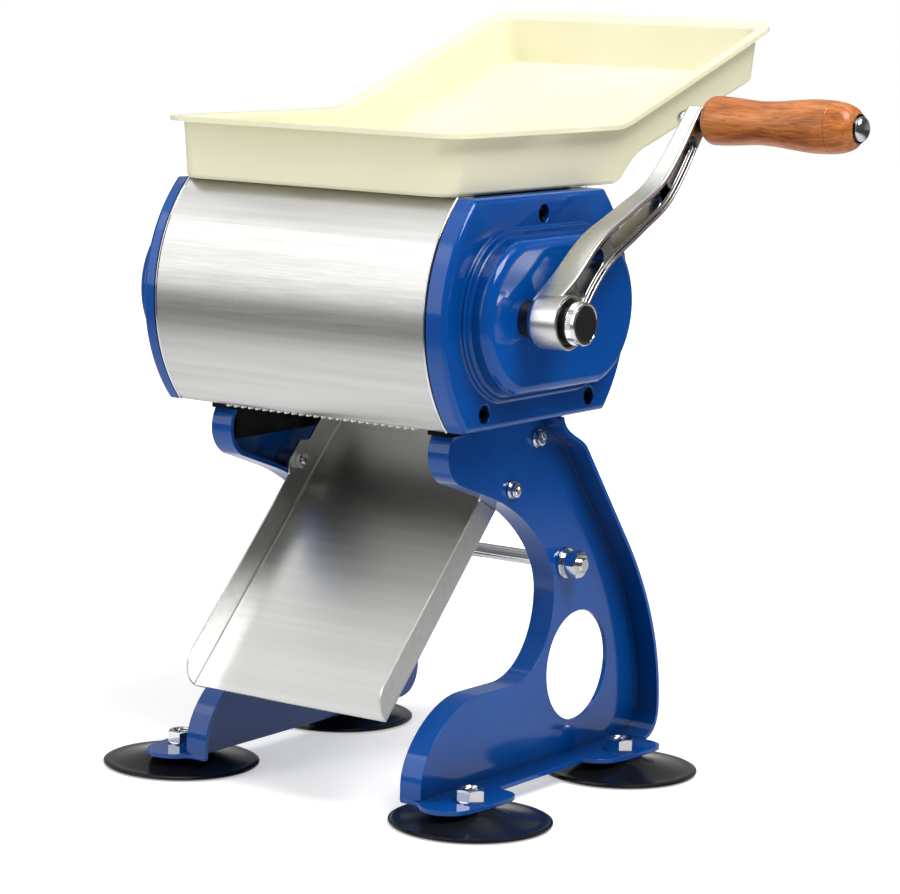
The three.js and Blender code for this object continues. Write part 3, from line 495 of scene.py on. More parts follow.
def effect(name: str, control: tuple[str, str, object], rough: float,
           build: Callable[[Nodes, Socket, Socket], tuple[Socket, Socket, Socket, float]]
           ) -> bpy.types.NodeTree:
    """Makes a shader group once: a place goes in, a height, a roughness and a mask come out.

    Args:
        name: the group's name.
        control: name, socket kind and default of the input that sets its size.
        rough: the default of its dullest roughness.
        build: from the nodes, the place and the control, gives the height, what drives the
            roughness, the mask, and how far that drive is cut at both ends.

    Returns:
        The group's tree.
    """
    found = bpy.data.node_groups.get(name)
    if found:
        return found
    tree = bpy.data.node_groups.new(name, "ShaderNodeTree")
    for label, kind, value in (("Place", "NodeSocketVector", None), control,
                               ("Smooth", "NodeSocketFloat", 0.2),
                               ("Rough", "NodeSocketFloat", rough)):
        socket = tree.interface.new_socket(label, in_out="INPUT", socket_type=kind)
        if value is not None:
            socket.default_value = value
    for label in ("Height", "Roughness", "Mask"):
        tree.interface.new_socket(label, in_out="OUTPUT", socket_type="NodeSocketFloat")
    start = tree.nodes.new("NodeGroupInput").outputs
    end = tree.nodes.new("NodeGroupOutput")
    nodes = Nodes(tree)
    height, drive, mask, cut = build(nodes, start["Place"], start[control[0]])
    sheen = nodes.add("MapRange", {"Value": drive, "From Min": cut, "From Max": 1.0 - cut,
                                   "To Min": start["Smooth"], "To Max": start["Rough"]})
    nodes.give(end, {"Height": height, "Roughness": sheen.outputs["Result"], "Mask": mask})
    return tree


def fine_texture() -> bpy.types.NodeTree:
    """The small unevenness of a moulded, cast or sprayed surface, and the sheen change with it."""

    def build(nodes: Nodes, place: Socket, scale: Socket
              ) -> tuple[Socket, Socket, Socket, float]:
        """Two noises, one for the height and one, larger, for the sheen."""
        fine = nodes.noise(place, Scale=scale, Detail=3.0)
        wide = nodes.noise(place, Scale=14.0, Detail=4.0)
        return fine, wide, wide, 0.0

    return effect("fine_texture", ("Scale", "NodeSocketFloat", 900.0), 0.3, build)


def drawn_lines() -> bpy.types.NodeTree:
    """Fine parallel lines left by brushing or turning along one axis."""

    def build(nodes: Nodes, place: Socket, stretch: Socket
              ) -> tuple[Socket, Socket, Socket, float]:
        """A noise stretched by the given factors, at two scales."""
        long = nodes.add("VectorMath", {0: place, 1: stretch}, operation="MULTIPLY")
        lines = nodes.noise(long.outputs["Vector"], Scale=1.0, Detail=4.0, Roughness=0.6)
        bands = nodes.noise(long.outputs["Vector"], Scale=0.12, Detail=2.0)
        return lines, lines, bands, 0.3

    return effect("drawn_lines", ("Stretch", "NodeSocketVector", None), 0.35, build)


@dataclass(frozen=True)
class Finish:
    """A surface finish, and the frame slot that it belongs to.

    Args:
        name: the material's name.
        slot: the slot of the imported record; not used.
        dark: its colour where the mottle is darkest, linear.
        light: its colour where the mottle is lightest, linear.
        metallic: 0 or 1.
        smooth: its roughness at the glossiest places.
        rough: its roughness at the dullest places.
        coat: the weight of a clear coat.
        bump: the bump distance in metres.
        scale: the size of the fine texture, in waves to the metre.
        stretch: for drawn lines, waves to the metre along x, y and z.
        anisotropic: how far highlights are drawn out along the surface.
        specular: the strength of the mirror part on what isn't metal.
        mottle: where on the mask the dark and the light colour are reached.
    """

    name: str
    slot: str
    dark: Colour
    light: Colour
    metallic: float = 0.0
    smooth: float = 0.2
    rough: float = 0.3
    coat: float = 0.0
    bump: float = 0.00001
    scale: float = 900.0
    stretch: tuple[float, float, float] | None = None
    anisotropic: float = 0.0
    specular: float = 0.5
    mottle: tuple[float, float] = (0.35, 0.65)

    def material(self) -> bpy.types.Material:
        """Builds the material the first time, and finds it afterwards."""
        found = bpy.data.materials.get(self.name)
        if found:
            return found
        made = bpy.data.materials.new(self.name)
        made.use_nodes = True
        nodes = Nodes(made.node_tree)
        shader = made.node_tree.nodes["Principled BSDF"]
        place = nodes.add("TexCoord").outputs["Object"]
        tree, control, size = ((drawn_lines(), "Stretch", self.stretch) if self.stretch
                               else (fine_texture(), "Scale", self.scale))
        surface = nodes.add("Group", {control: size, "Smooth": self.smooth, "Rough": self.rough,
                                      "Place": place}, node_tree=tree).outputs
        bump = nodes.add("Bump", {"Strength": 1.0, "Distance": self.bump,
                                  "Height": surface["Height"]})
        colour = nodes.ramp(surface["Mask"], (self.mottle[0], self.dark),
                            (self.mottle[1], self.light))
        nodes.give(shader, {
            "Metallic": self.metallic, "Coat Weight": self.coat, "Coat Roughness": COAT_ROUGHNESS,
            "Specular IOR Level": self.specular, "Anisotropic": self.anisotropic,
            "Base Color": colour, "Roughness": surface["Roughness"],
            "Normal": bump.outputs["Normal"]})
        self.dress(nodes, shader, place)
        return made

    def dress(self, nodes: Nodes, shader: bpy.types.Node, place: Socket) -> None:
        """Adds what is special to a finish; a plain one adds nothing."""


@dataclass(frozen=True)
class PaintedShadeFinish(Finish):
    """A finish with painted shade: its colour is darkened where the surface is enclosed.

    Args:
        hollow: how near the enclosing walls count for the painted shade, in metres.
        deepest: the share of the colour left where the painted shade is deepest.
    """

    hollow: float = 0.012
    deepest: float = 0.3

    def dress(self, nodes: Nodes, shader: bpy.types.Node, place: Socket) -> None:
        """Paints shade into the base colour where the surface is enclosed."""
        # Painted shade: ambient occlusion darkens the colour in hollows and recesses.
        open_share = nodes.add("AmbientOcclusion", {"Distance": self.hollow}, samples=6,
                               only_local=True).outputs["AO"]
        shade = nodes.add("MapRange", {"Value": open_share, "From Min": 0.35, "From Max": 0.95,
                                       "To Min": self.deepest}).outputs["Result"]
        colour = shader.inputs["Base Color"].links[0].from_socket
        nodes.give(shader, {"Base Color": nodes.multiplied(colour, shade)})


@dataclass(frozen=True)
class Wood(Finish):
    """Varnished hardwood with long grain along x."""

    def dress(self, nodes: Nodes, shader: bpy.types.Node, place: Socket) -> None:
        """Lays growth bands and pores in place of the base colour."""
        bands, pores = (
            nodes.noise(nodes.add("Mapping", {"Scale": scale, "Vector": place}).outputs["Vector"],
                        Scale=1.0, **more)
            for scale, more in (
                ((9.0, 62.0, 62.0), {"Detail": 5.0, "Roughness": 0.62, "Distortion": 1.6}),
                ((60.0, 900.0, 900.0), {"Detail": 2.0})))
        grain = nodes.ramp(bands, (0.30, (0.19, 0.044, 0.010)), (0.47, (0.42, 0.122, 0.021)),
                           (0.66, (0.60, 0.215, 0.062)))
        depth = nodes.ramp(pores, (0.34, (0.58, 0.55, 0.52)), (0.5, (1, 1, 1)))
        nodes.give(shader, {"Base Color": nodes.multiplied(grain, depth)})


# The blue paint carries painted shade: its colour is darkened in hollows and recesses.
BLUE_PAINT = PaintedShadeFinish("gloss blue paint", "blue_paint", (0.0008, 0.056, 0.275),
                      (0.001, 0.068, 0.32), smooth=0.07, rough=0.13, specular=0.42,
                      bump=0.000008, scale=420.0, hollow=0.045, deepest=0.22)
BRUSHED_STEEL = Finish("brushed stainless", "brushed_steel", (0.545, 0.545, 0.53),
                       (0.605, 0.605, 0.59), metallic=1.0, smooth=0.28, rough=0.41,
                       bump=0.00002, stretch=(32.0, 1500.0, 1500.0), anisotropic=0.4)
CHUTE_STEEL = Finish("brushed chute steel", "brushed_steel", (0.56, 0.56, 0.545),
                     (0.60, 0.60, 0.585), metallic=1.0, smooth=0.28, rough=0.37,
                     bump=0.000015, stretch=(24.0, 1500.0, 1500.0))
PLATE_ALLOY = Finish("milled plate", "plate_alloy", (0.42, 0.42, 0.43), (0.55, 0.55, 0.56),
                     metallic=1.0, smooth=0.28, rough=0.45, bump=0.00002,
                     stretch=(900.0, 40.0, 900.0))
# The cast alloy carries painted shade: its colour is darkened in the arm's channel and other
# hollows.
CAST_ALLOY = PaintedShadeFinish("polished cast alloy", "cast_alloy", (0.64, 0.635, 0.62),
                      (0.72, 0.715, 0.70), metallic=1.0, smooth=0.22, rough=0.32,
                      bump=0.00002, scale=90.0, hollow=0.02, deepest=0.12)
CHROME = Finish("bright plated steel", "chrome", (0.70, 0.70, 0.71), (0.80, 0.80, 0.81),
                metallic=1.0, smooth=0.08, rough=0.16, bump=0.000006, scale=700.0)
HARD_STEEL = Finish("ground steel", "hard_steel", (0.66, 0.66, 0.67), (0.78, 0.78, 0.79),
                    metallic=1.0, smooth=0.26, rough=0.42, bump=0.00001,
                    stretch=(60.0, 1400.0, 1400.0))
BRONZE = Finish("sintered bronze", "bronze", (0.36, 0.22, 0.08), (0.50, 0.31, 0.12),
                metallic=1.0, smooth=0.3, rough=0.5, bump=0.00002, scale=1600.0)
COMB_PLASTIC = Finish("white comb plastic", "comb_plastic", (0.80, 0.80, 0.77),
                      (0.86, 0.86, 0.83), smooth=0.28, rough=0.4)
TRAY_PLASTIC = Finish("cream tray plastic", "tray_plastic", (0.78, 0.75, 0.53),
                      (0.81, 0.78, 0.57), smooth=0.26, rough=0.38, bump=0.000015, scale=500.0)
# Black rubber for the suction cups; the same finish gives the painted shade of the joint strips.
BLACK_RUBBER_AND_SHADE = Finish("black rubber and painted shade", "black_rubber", (0.004, 0.004, 0.005),
                      (0.008, 0.008, 0.009), smooth=0.12, rough=0.24, specular=0.35,
                      bump=0.00003, scale=160.0)
# Black plastic for the knob face and shaft bush; the same finish gives the painted shade of the
# ring round the knob.
BLACK_PLASTIC_AND_SHADE = Finish("black plastic", "black_plastic", (0.004, 0.004, 0.005),
                       (0.011, 0.011, 0.012), smooth=0.26, rough=0.42,
                       bump=0.00025, scale=700.0)
# Blackened steel for screws and small washers; on the side plates and the grip washer this black is
# painted shade.
BLACK_STEEL_AND_SHADE = Finish("blackened steel", "black_steel", (0.012, 0.012, 0.014), (0.03, 0.03, 0.033),
                     metallic=1.0, smooth=0.2, rough=0.3)
WOOD = Wood("varnished hardwood", "wood", (0.2, 0.06, 0.02), (0.5, 0.22, 0.07),
            smooth=0.26, rough=0.38, specular=0.35, coat=0.1, bump=0.00003,
            stretch=(30.0, 700.0, 700.0))


# Housing


@dataclass
class Housing:
    """The barrel: two brushed shells between painted end caps with raised gear bosses."""

    length: float = 216.0
    sheet: float = 1.5
    base: float = 252.5
    height: float = 146.0
    radius: float = 104.5
    shift: float = 1.5
    level: float = 70.0
    top_hem: float = 18.0
    bottom_hem: float = 9.0
    axis_height: float = 324.0
    cap_bands: dict[Side, float] = field(
        default_factory=lambda: {Side.RIGHT: 15.0, Side.LEFT: 10.5})
    boss_depths: dict[Side, float] = field(
        default_factory=lambda: {Side.RIGHT: 18.5, Side.LEFT: 23.0})
    edge_round: float = 3.5
    boss_half_length: float = 90.0
    boss_half_height: float = 54.0
    boss_flat: float = 46.0
    step_height: float = 3.5
    step_width: float = 5.0
    boss_round: float = 7.0
    bore: float = 5.8
    bore_depth: float = 8.0
    top_screw_drop: float = 12.5
    bottom_screw_rise: float = 11.0
    bottom_screw_reach: float = 60.0
    bead_width: float = 1.6
    bead_height: float = 0.75
    collar_radius: float = 12.0
    collar_out: float = 7.0
    shaft_radius: float = 10.0
    front_axis: float = -42.0

    @property
    def top(self) -> float:
        """The height of the housing's flat top."""
        return self.base + self.height

    def face(self, side: Side) -> float:
        """How far out a cap's flat face is."""
        return self.length / 2 + self.cap_bands[side]

    def arc(self, inset: float, steps: int) -> list[Point]:
        """The front arc of the barrel from top to bottom, drawn inwards by an inset."""
        radius = self.radius - inset
        level = self.base + self.level
        high = math.asin((self.top - inset - level) / radius)
        low = math.asin((self.base + inset - level) / radius)
        found = []
        for i in range(steps + 1):
            angle = high + (low - high) * i / steps
            found.append((-self.shift - radius * math.cos(angle), level + radius * math.sin(angle)))
        return found

    def outline(self, inset: float, steps: int = 40) -> list[Point]:
        """The whole barrel outline."""
        front = self.arc(inset, steps)
        return front + [(-y, z) for y, z in reversed(front)]

    def boss(self, inset: float, steps: int = 28) -> list[Point]:
        """The outline of the raised boss."""
        length = self.boss_half_length - inset
        height = self.boss_half_height - inset
        sagitta = length - self.boss_flat
        radius = (height ** 2 + sagitta ** 2) / (2 * sagitta)
        half = math.asin(height / radius)
        found = []
        for end in (-1, 1):
            for i in range(steps + 1):
                angle = half - 2 * half * i / steps
                reach = length - radius + radius * math.cos(angle)
                found.append((end * reach, self.axis_height - end * radius * math.sin(angle)))
        return found

    def screw_places(self) -> dict[str, Point]:
        """Where the cap screws are, by name."""
        low = self.base + self.bottom_screw_rise
        return {
            "top": (1.0, self.top - self.top_screw_drop),
            "front": (-self.bottom_screw_reach, low),
            "rear": (self.bottom_screw_reach, low),
        }

    def shell(self) -> Work:
        """The front shell, on the middle of its sheet, with hems at its top and bottom."""
        half = self.sheet / 2
        arc = self.arc(half, 56)
        top, low = arc[0], arc[-1]
        path = traced((top[0] + self.top_hem, top[1]), (3, [(top[0] + 1.5, top[1])]))
        path += arc[1:-1]
        path += traced((low[0] + 1.2, low[1]), (2, [(low[0] + self.bottom_hem, low[1])]))
        reach = self.length / 2
        work = Work()
        work.sheet([[Vector((x, y, z)) for y, z in path] for x in (-reach, 0.0, reach)])
        return work

    def seal(self) -> Work:
        """Painted shade: a black strip in the joint between the shells and a cap, standing in for
        the shaded gap there.
        """
        end, ring = self.length / 2, self.outline(0.7)
        return Work().prism(Axis.X, [(end - 0.9, ring), (end + 1.6, ring)])

    def bead(self) -> Work:
        """The bright rounded edge along the ends of both shells, drawn at the right."""
        work = Work()
        end = self.length / 2
        low = 0.25
        for turn in (0.0, math.pi):
            rows = []
            for i in range(9):
                angle = math.pi * i / 8
                lift = -self.bead_height * math.sin(angle) + low
                x = end - self.bead_width / 2 * (1 + math.cos(angle))
                rows.append([Vector((x, y * math.cos(turn), z)) for y, z in self.arc(lift, 56)])
            table = work.sheet(rows + rows[:1])[:-1]
            work.fill([line[0] for line in table])
            work.fill([line[-1] for line in table])
        return work

    def cap(self, side: Side) -> Work:
        """An end cap's outer skin, drawn at the right."""
        face = self.face(side)
        boss = face + self.boss_depths[side]
        work = Work()
        rows = [(self.length / 2 + 1.0, 0.0), (face - self.edge_round - 1.5, 0.0)]
        rows += rounded(face, 0.0, self.edge_round, 5)
        band = work.skin([(x, self.outline(inset)) for x, inset in rows])
        root, crest, foot = 1.5, 1.2, 2.2
        step = face + self.step_height
        rows = [(face + root * (1 - c), -root * (1 - s)) for s, c in quarter(3)]
        rows += rounded(step, 0.0, crest, 3)
        rows += [(step + foot * (1 - c), self.step_width - foot * (1 - s)) for s, c in quarter(4)]
        rows += rounded(boss, self.step_width, self.boss_round, 7)
        rise = work.skin([(x, self.boss(inset)) for x, inset in rows])
        holes = []
        wall = [(face, self.bore + 0.9), (face - 0.15, self.bore + 0.45),
                (face - 0.5, self.bore + 0.1), (face - 1.0, self.bore),
                (face - self.bore_depth, self.bore)]
        for at in self.screw_places().values():
            bore = work.skin(discs(at, wall))
            work.fill(bore[-1])
            holes.append(bore[0])
        work.fill(band[-1], rise[0], *holes)
        if side is Side.RIGHT:
            hole = self.collar_radius - 1.0
            wall = [(boss, hole + 0.8), (boss - 0.8, hole), (boss - 6.0, hole)]
            shaft = work.skin(discs((self.front_axis, self.axis_height), wall, 40))
            work.fill(rise[-1], shaft[0])
        else:
            work.fill(rise[-1])
        return work

    def collar(self) -> Work:
        """The black bush ring where the front shaft leaves the right cap."""
        face = self.face(Side.RIGHT) + self.boss_depths[Side.RIGHT]
        out = face + self.collar_out
        bore = self.shaft_radius + 0.25
        return Work().turned(
            [(face - 3, bore), (face - 3, self.collar_radius - 1.3),
             (face + 0.3, self.collar_radius - 1.3), (face + 0.3, self.collar_radius),
             (out - 0.8, self.collar_radius), (out, self.collar_radius - 0.8), (out, bore)],
            Axis.X, (self.front_axis, self.axis_height), closed=True)

    def build(self, bench: Bench) -> None:
        """Lays the shells, the caps, their screws and the shaft bush."""
        rear = self.shell()
        rear.bm.transform(Matrix.Rotation(math.pi, 4, "Z"))
        for end, shell in (("front", self.shell()), ("rear", rear)):
            bench.lay(shell, f"{end}_barrel_shell", BRUSHED_STEEL, [f"{end}_shell"],
                      trim=Trim(wall=self.sheet, edge=0.25))
        for side in Side:
            word = side.word
            bench.lay(self.bead(), f"shell_bead_{word}", CHROME, side=side)
            # Painted shade: this black strip stands in for the shaded gap between the shells and a
            # cap.
            bench.lay(self.seal(), f"joint_seal_{word}", BLACK_RUBBER_AND_SHADE, side=side)
            bench.lay(self.cap(side), f"painted_cap_{word}", BLUE_PAINT, [f"end_cap_{word}"],
                      side, Trim(wall=2.6, wall_side=-1.0))
            face = self.face(side)
            seat = face - self.bore_depth + SEAT_GAP
            for place, at in self.screw_places().items():
                bench.lay(socket_screw(at, seat, head=4.9, height=5.6, socket=2.5,
                                       tip=face - 22),
                          f"cap_bolt_{place}_{word}", BLACK_STEEL_AND_SHADE,
                          [f"cap_screw_{place}_{word}"], side)
        bench.lay(self.collar(), "shaft_collar", BLACK_PLASTIC_AND_SHADE, ["shaft_bush"])


def socket_screw(at: Point, seat: float, head: float, height: float, socket: float,
                 tip: float, shank: float = 2.9) -> Work:
    """A cap screw along x with a hexagon socket.

    Args:
        at: its place in y and z.
        seat: where its head sits.
        head: the head's radius.
        height: the head's height.
        socket: half of the socket's width across its flats.
        tip: where its shank ends.
        shank: the shank's radius.

    Returns:
        The screw's mesh.
    """
    work = Work()
    top = seat + height
    body = work.skin(discs(at, [(tip, shank), (seat, shank), (seat, head), (top - 0.7, head),
                                (top - 0.2, head - 0.2), (top, head - 0.7)], SCREW_STEPS))
    work.fill(body[0])
    hollow = hexagon(*at, 2 * socket, SCREW_STEPS)
    recess = work.skin([(top, hollow), (top - height * 0.5, hollow),
                        (top - height * 0.62, circle(*at, 0.4, SCREW_STEPS))])
    work.fill(recess[-1])
    work.fill(body[-1], recess[0])
    return work


def hex_nut(axis: Axis, at: Point, seat: float, across: float, height: float,
            bore: float = 0.0) -> Work:
    """A hexagon nut with chamfered corners on both faces.

    Args:
        axis: the axis of its thread.
        at: where that axis crosses the plane square to it.
        seat: where its near face is.
        across: its width across the flats.
        height: its height.
        bore: the radius of its hole, or 0 where a rod fills it.

    Returns:
        The nut's mesh.
    """
    work = Work()
    flat = across / 2 * 0.95
    outline = hexagon(*at, across, NUT_STEPS)
    top = seat + height
    lean = math.tan(NUT_CHAMFER)

    def corner(point: Point, level: float, way: int) -> Vector:
        """A point of the chamfer, lower the further it is from the axis."""
        reach = (Vector(point) - Vector(at)).length
        return axis.place(level - way * (reach - flat) * lean, *point)

    rows = [[axis.place(seat, *p) for p in circle(*at, flat, NUT_STEPS)],
            [corner(p, seat, -1) for p in outline], [corner(p, top, 1) for p in outline],
            [axis.place(top, *p) for p in circle(*at, flat, NUT_STEPS)]]
    table = work.sheet(rows, closed=True)
    work.fill(table[0])
    if bore:
        wall = [(top, bore + 0.9), (top - 0.9, bore), (top - height * 0.6, bore)]
        hole = work.skin(discs(at, wall, NUT_STEPS), axis)
        work.fill(table[-1], hole[0])
        work.fill(hole[-1])
    else:
        work.fill(table[-1])
    return work


# Side frames and feet


@dataclass
class SideFrames:
    """Two pressed sheet frames with bent flanges, foot tabs and an oval window each."""

    sheet: float = 3.0
    span: float = 193.0
    flange: float = 16.5
    base: float = 11.0
    top: float = 250.0
    horn_drop: float = 4.0
    horn_step: float = -30.0
    front_foot: float = -82.0
    rear: float = 178.5
    fold_round: float = 1.2
    window: tuple[float, float, float, float] = (97.0, 73.5, 37.0, 37.5)
    tab_reach: float = 37.5
    tab_length: float = 76.0
    foot_places: dict[str, float] = field(
        default_factory=lambda: {"front": -59.0, "rear": 118.0})

    def front_path(self) -> list[Point]:
        """The inner edge: horn, wide arch and front leg, from the top down."""
        top, foot = self.top - self.horn_drop, self.front_foot
        return traced((-56.0, top), (14, [(-63, top - 10), (-62, 222), (-48, 214)]),
                      (3, [(-10, 201)]), (16, [(24, 189), (66, 159), (66, 127)]),
                      (14, [(66, 95), (44, 72.5), (18, 72.5)]), (3, [(-20, 72.8)]),
                      (14, [(-50, 72.8), (foot, 46), (foot, 22)]), (2, [(foot, self.base)]))

    def rear_path(self) -> list[Point]:
        """The outer edge past the feet: rear leg and shoulder, from the bottom up."""
        rear, base = self.rear, self.base
        return traced((rear - 24, base), (10, [(rear, base), (rear, base + 24)]),
                      (16, [(rear, 82), (154.7, 125.5), (131.5, 155.5)]), (5, [(77, 226)]),
                      (12, [(70, 235), (49, 237), (47, self.top)]))

    def tab(self, place: float) -> list[Point]:
        """A foot tab's outline in (x, y), from its front corner to its rear root."""
        web = self.span / 2
        low, high = place - self.tab_length / 2, place + self.tab_length / 2
        outer = web + self.tab_reach
        return traced((web + 4, low + 8), (14, [(outer - 15, low - 4), (outer - 4, low + 15)]),
                      (10, [(outer + 1, place), (outer, high - 15)]),
                      (8, [(outer, high - 1), (outer - 14, high)]),
                      (6, [(web + self.flange + 2, high), (web + self.flange, high + 6)]))

    def base_run(self) -> tuple[list[Point], list[Point]]:
        """The bottom flange: points along the web's foot, and the edge that each one reaches."""
        edge = self.span / 2 + self.flange
        front, rear = (self.tab(self.foot_places[key]) for key in ("front", "rear"))
        rear = [p for p in rear if p[0] > edge or p[1] > self.foot_places["rear"]]
        rear = [(edge, rear[0][1] - 0.6)] + rear
        feet, tips = [], []
        stop = front[-1][1]
        count = 44
        for i, tip in enumerate(resampled(front, count)):
            share = 0.04 + 0.96 * i / (count - 1) if i else 0.0
            feet.append((self.front_foot + (stop - self.front_foot) * share, self.base))
            tips.append(tip)
        for y in (0.0, 30.0, 60.0):
            feet.append((y, self.base))
            tips.append((edge, y))
        start, stop = rear[0][1], self.rear - 24
        for i, tip in enumerate(resampled(rear, count)):
            feet.append((start + (stop - start) * i / (count - 1), self.base))
            tips.append(tip)
        return feet, tips

    def panel(self) -> Work:
        """The pressed sheet on its middle surface, drawn at the right."""
        feet, tips = self.base_run()
        front = self.front_path()
        rear = self.rear_path()
        path = front[:-1] + feet + rear[1:]
        corner = len(front) - 1
        half = self.sheet / 2
        line = moved_in(path, half)
        middle = (self.span - self.sheet) / 2
        work = Work()
        inside = work.sheet([[Vector((x, y, z)) for y, z in line[:corner + 1]]
                             for x in (middle, self.span / 2 - self.flange)])
        edge = self.span / 2 + self.flange
        reach = [Vector((edge, y, z)) for y, z in line[corner:]]
        for i, (x, y) in enumerate(tips):
            reach[i] = Vector((x, y, self.base + half))
        outside = work.sheet([[Vector((middle, y, z)) for y, z in line[corner:]], reach])
        bmesh.ops.weld_verts(work.bm, targetmap={outside[0][0]: inside[0][-1]})
        top = [work.bm.verts.new((middle, self.horn_step, self.top)),
               work.bm.verts.new((middle, self.horn_step, self.top - self.horn_drop))]
        y, z, half_depth, half_height = self.window
        hole = [work.bm.verts.new((middle, y + half_depth * u, z + half_height * v))
                for u, v in circle(0, 0, 1, 56)]
        work.fill(inside[0] + outside[0][1:] + top, hole)
        return work

    def toe(self) -> Work:
        """The web of metal that joins the front flange to the foot tab."""
        low = self.foot_places["front"] - self.tab_length / 2
        web, inner = self.span / 2, self.span / 2 - self.flange + 0.2
        outline = [(inner, self.front_foot - 0.2), (web - 4, self.front_foot - 0.6),
                   (web + 1, low + 11.5), (web + 6, low + 8), (web + 9, low + 14),
                   (web + 2, low + 30), (web - 2, low + 26), (web - 5, low + 19),
                   (inner, self.front_foot + 2.8)]
        return Work().prism(Axis.Z, [(self.base + 0.05, outline),
                                     (self.base + self.sheet - 0.05, outline)])

    def build(self, bench: Bench) -> None:
        """Lays both frames."""
        pressed = Trim(wall=self.sheet, edge=self.fold_round, steps=3)
        for side in Side:
            bench.lay(self.panel(), f"pressed_frame_{side.word}", BLUE_PAINT,
                      [f"frame_{side.word}"], side, pressed)
            bench.lay(self.toe(), f"frame_toe_{side.word}", BLUE_PAINT, side=side,
                      trim=Trim(edge=0.7, steps=3))


@dataclass
class Feet:
    """Suction cups, each held by a stud and a hexagon nut."""

    base: float = 11.0
    sheet: float = 3.0
    x: float = 119.5
    radius: float = 53.0
    stud: float = 4.8
    across: float = 17.0
    nut_height: float = 8.5
    places: dict[str, float] = field(default_factory=lambda: {"front": -59.0, "rear": 118.0})

    def cup(self, y: float) -> Work:
        """A flared cup with a thin glossy lip and a dished underside."""
        skirt = [(0.0, 47.0), (0.0, 50.6), (0.5, 52.2), (1.3, 53.0), (2.2, 52.8), (2.9, 51.4),
                 (3.1, 49.6), (3.0, 47.0), (3.3, 44.0), (4.2, 38.0), (5.6, 31.0), (7.2, 24.0),
                 (8.6, 19.2), (9.6, 16.6), (10.7, 15.2), (10.7, 0.0)]
        dish = [(0.0, 47.0), (1.2, 45.0), (3.0, 30.0), (4.0, 12.0), (4.2, 0.0)]
        return Work().turned(skirt, Axis.Z, (self.x, y), 96).turned(dish, Axis.Z, (self.x, y), 96)

    def bolt(self, y: float) -> Work:
        """The nut over the foot tab, with the stud's end a little below its crown."""
        seat = self.base + self.sheet + SEAT_GAP
        at = (self.x, y)
        stud = seat + self.nut_height - 2.2
        work = hex_nut(Axis.Z, at, seat, self.across, self.nut_height, self.stud + 0.5)
        work.turned([(6.1, 0.0), (6.1, self.stud), (stud - 0.6, self.stud),
                     (stud, self.stud - 0.6), (stud, 0.0)], Axis.Z, at, 40)
        return work.turned([(seat - 0.2, 0.0), (seat - 0.2, 9.6), (seat + 0.5, 9.6),
                            (seat + 0.5, 0.0)], Axis.Z, at, 64)

    def build(self, bench: Bench) -> None:
        """Lays four cups and four nuts."""
        for end, y in self.places.items():
            for side in Side:
                name = f"{end}_{side.word}"
                bench.lay(self.cup(y), f"suction_cup_{name}", BLACK_RUBBER_AND_SHADE,
                          [f"foot_cup_{name}"], side)
                bench.lay(self.bolt(y), f"foot_nut_{name}", CHROME, [f"foot_bolt_{name}"], side)


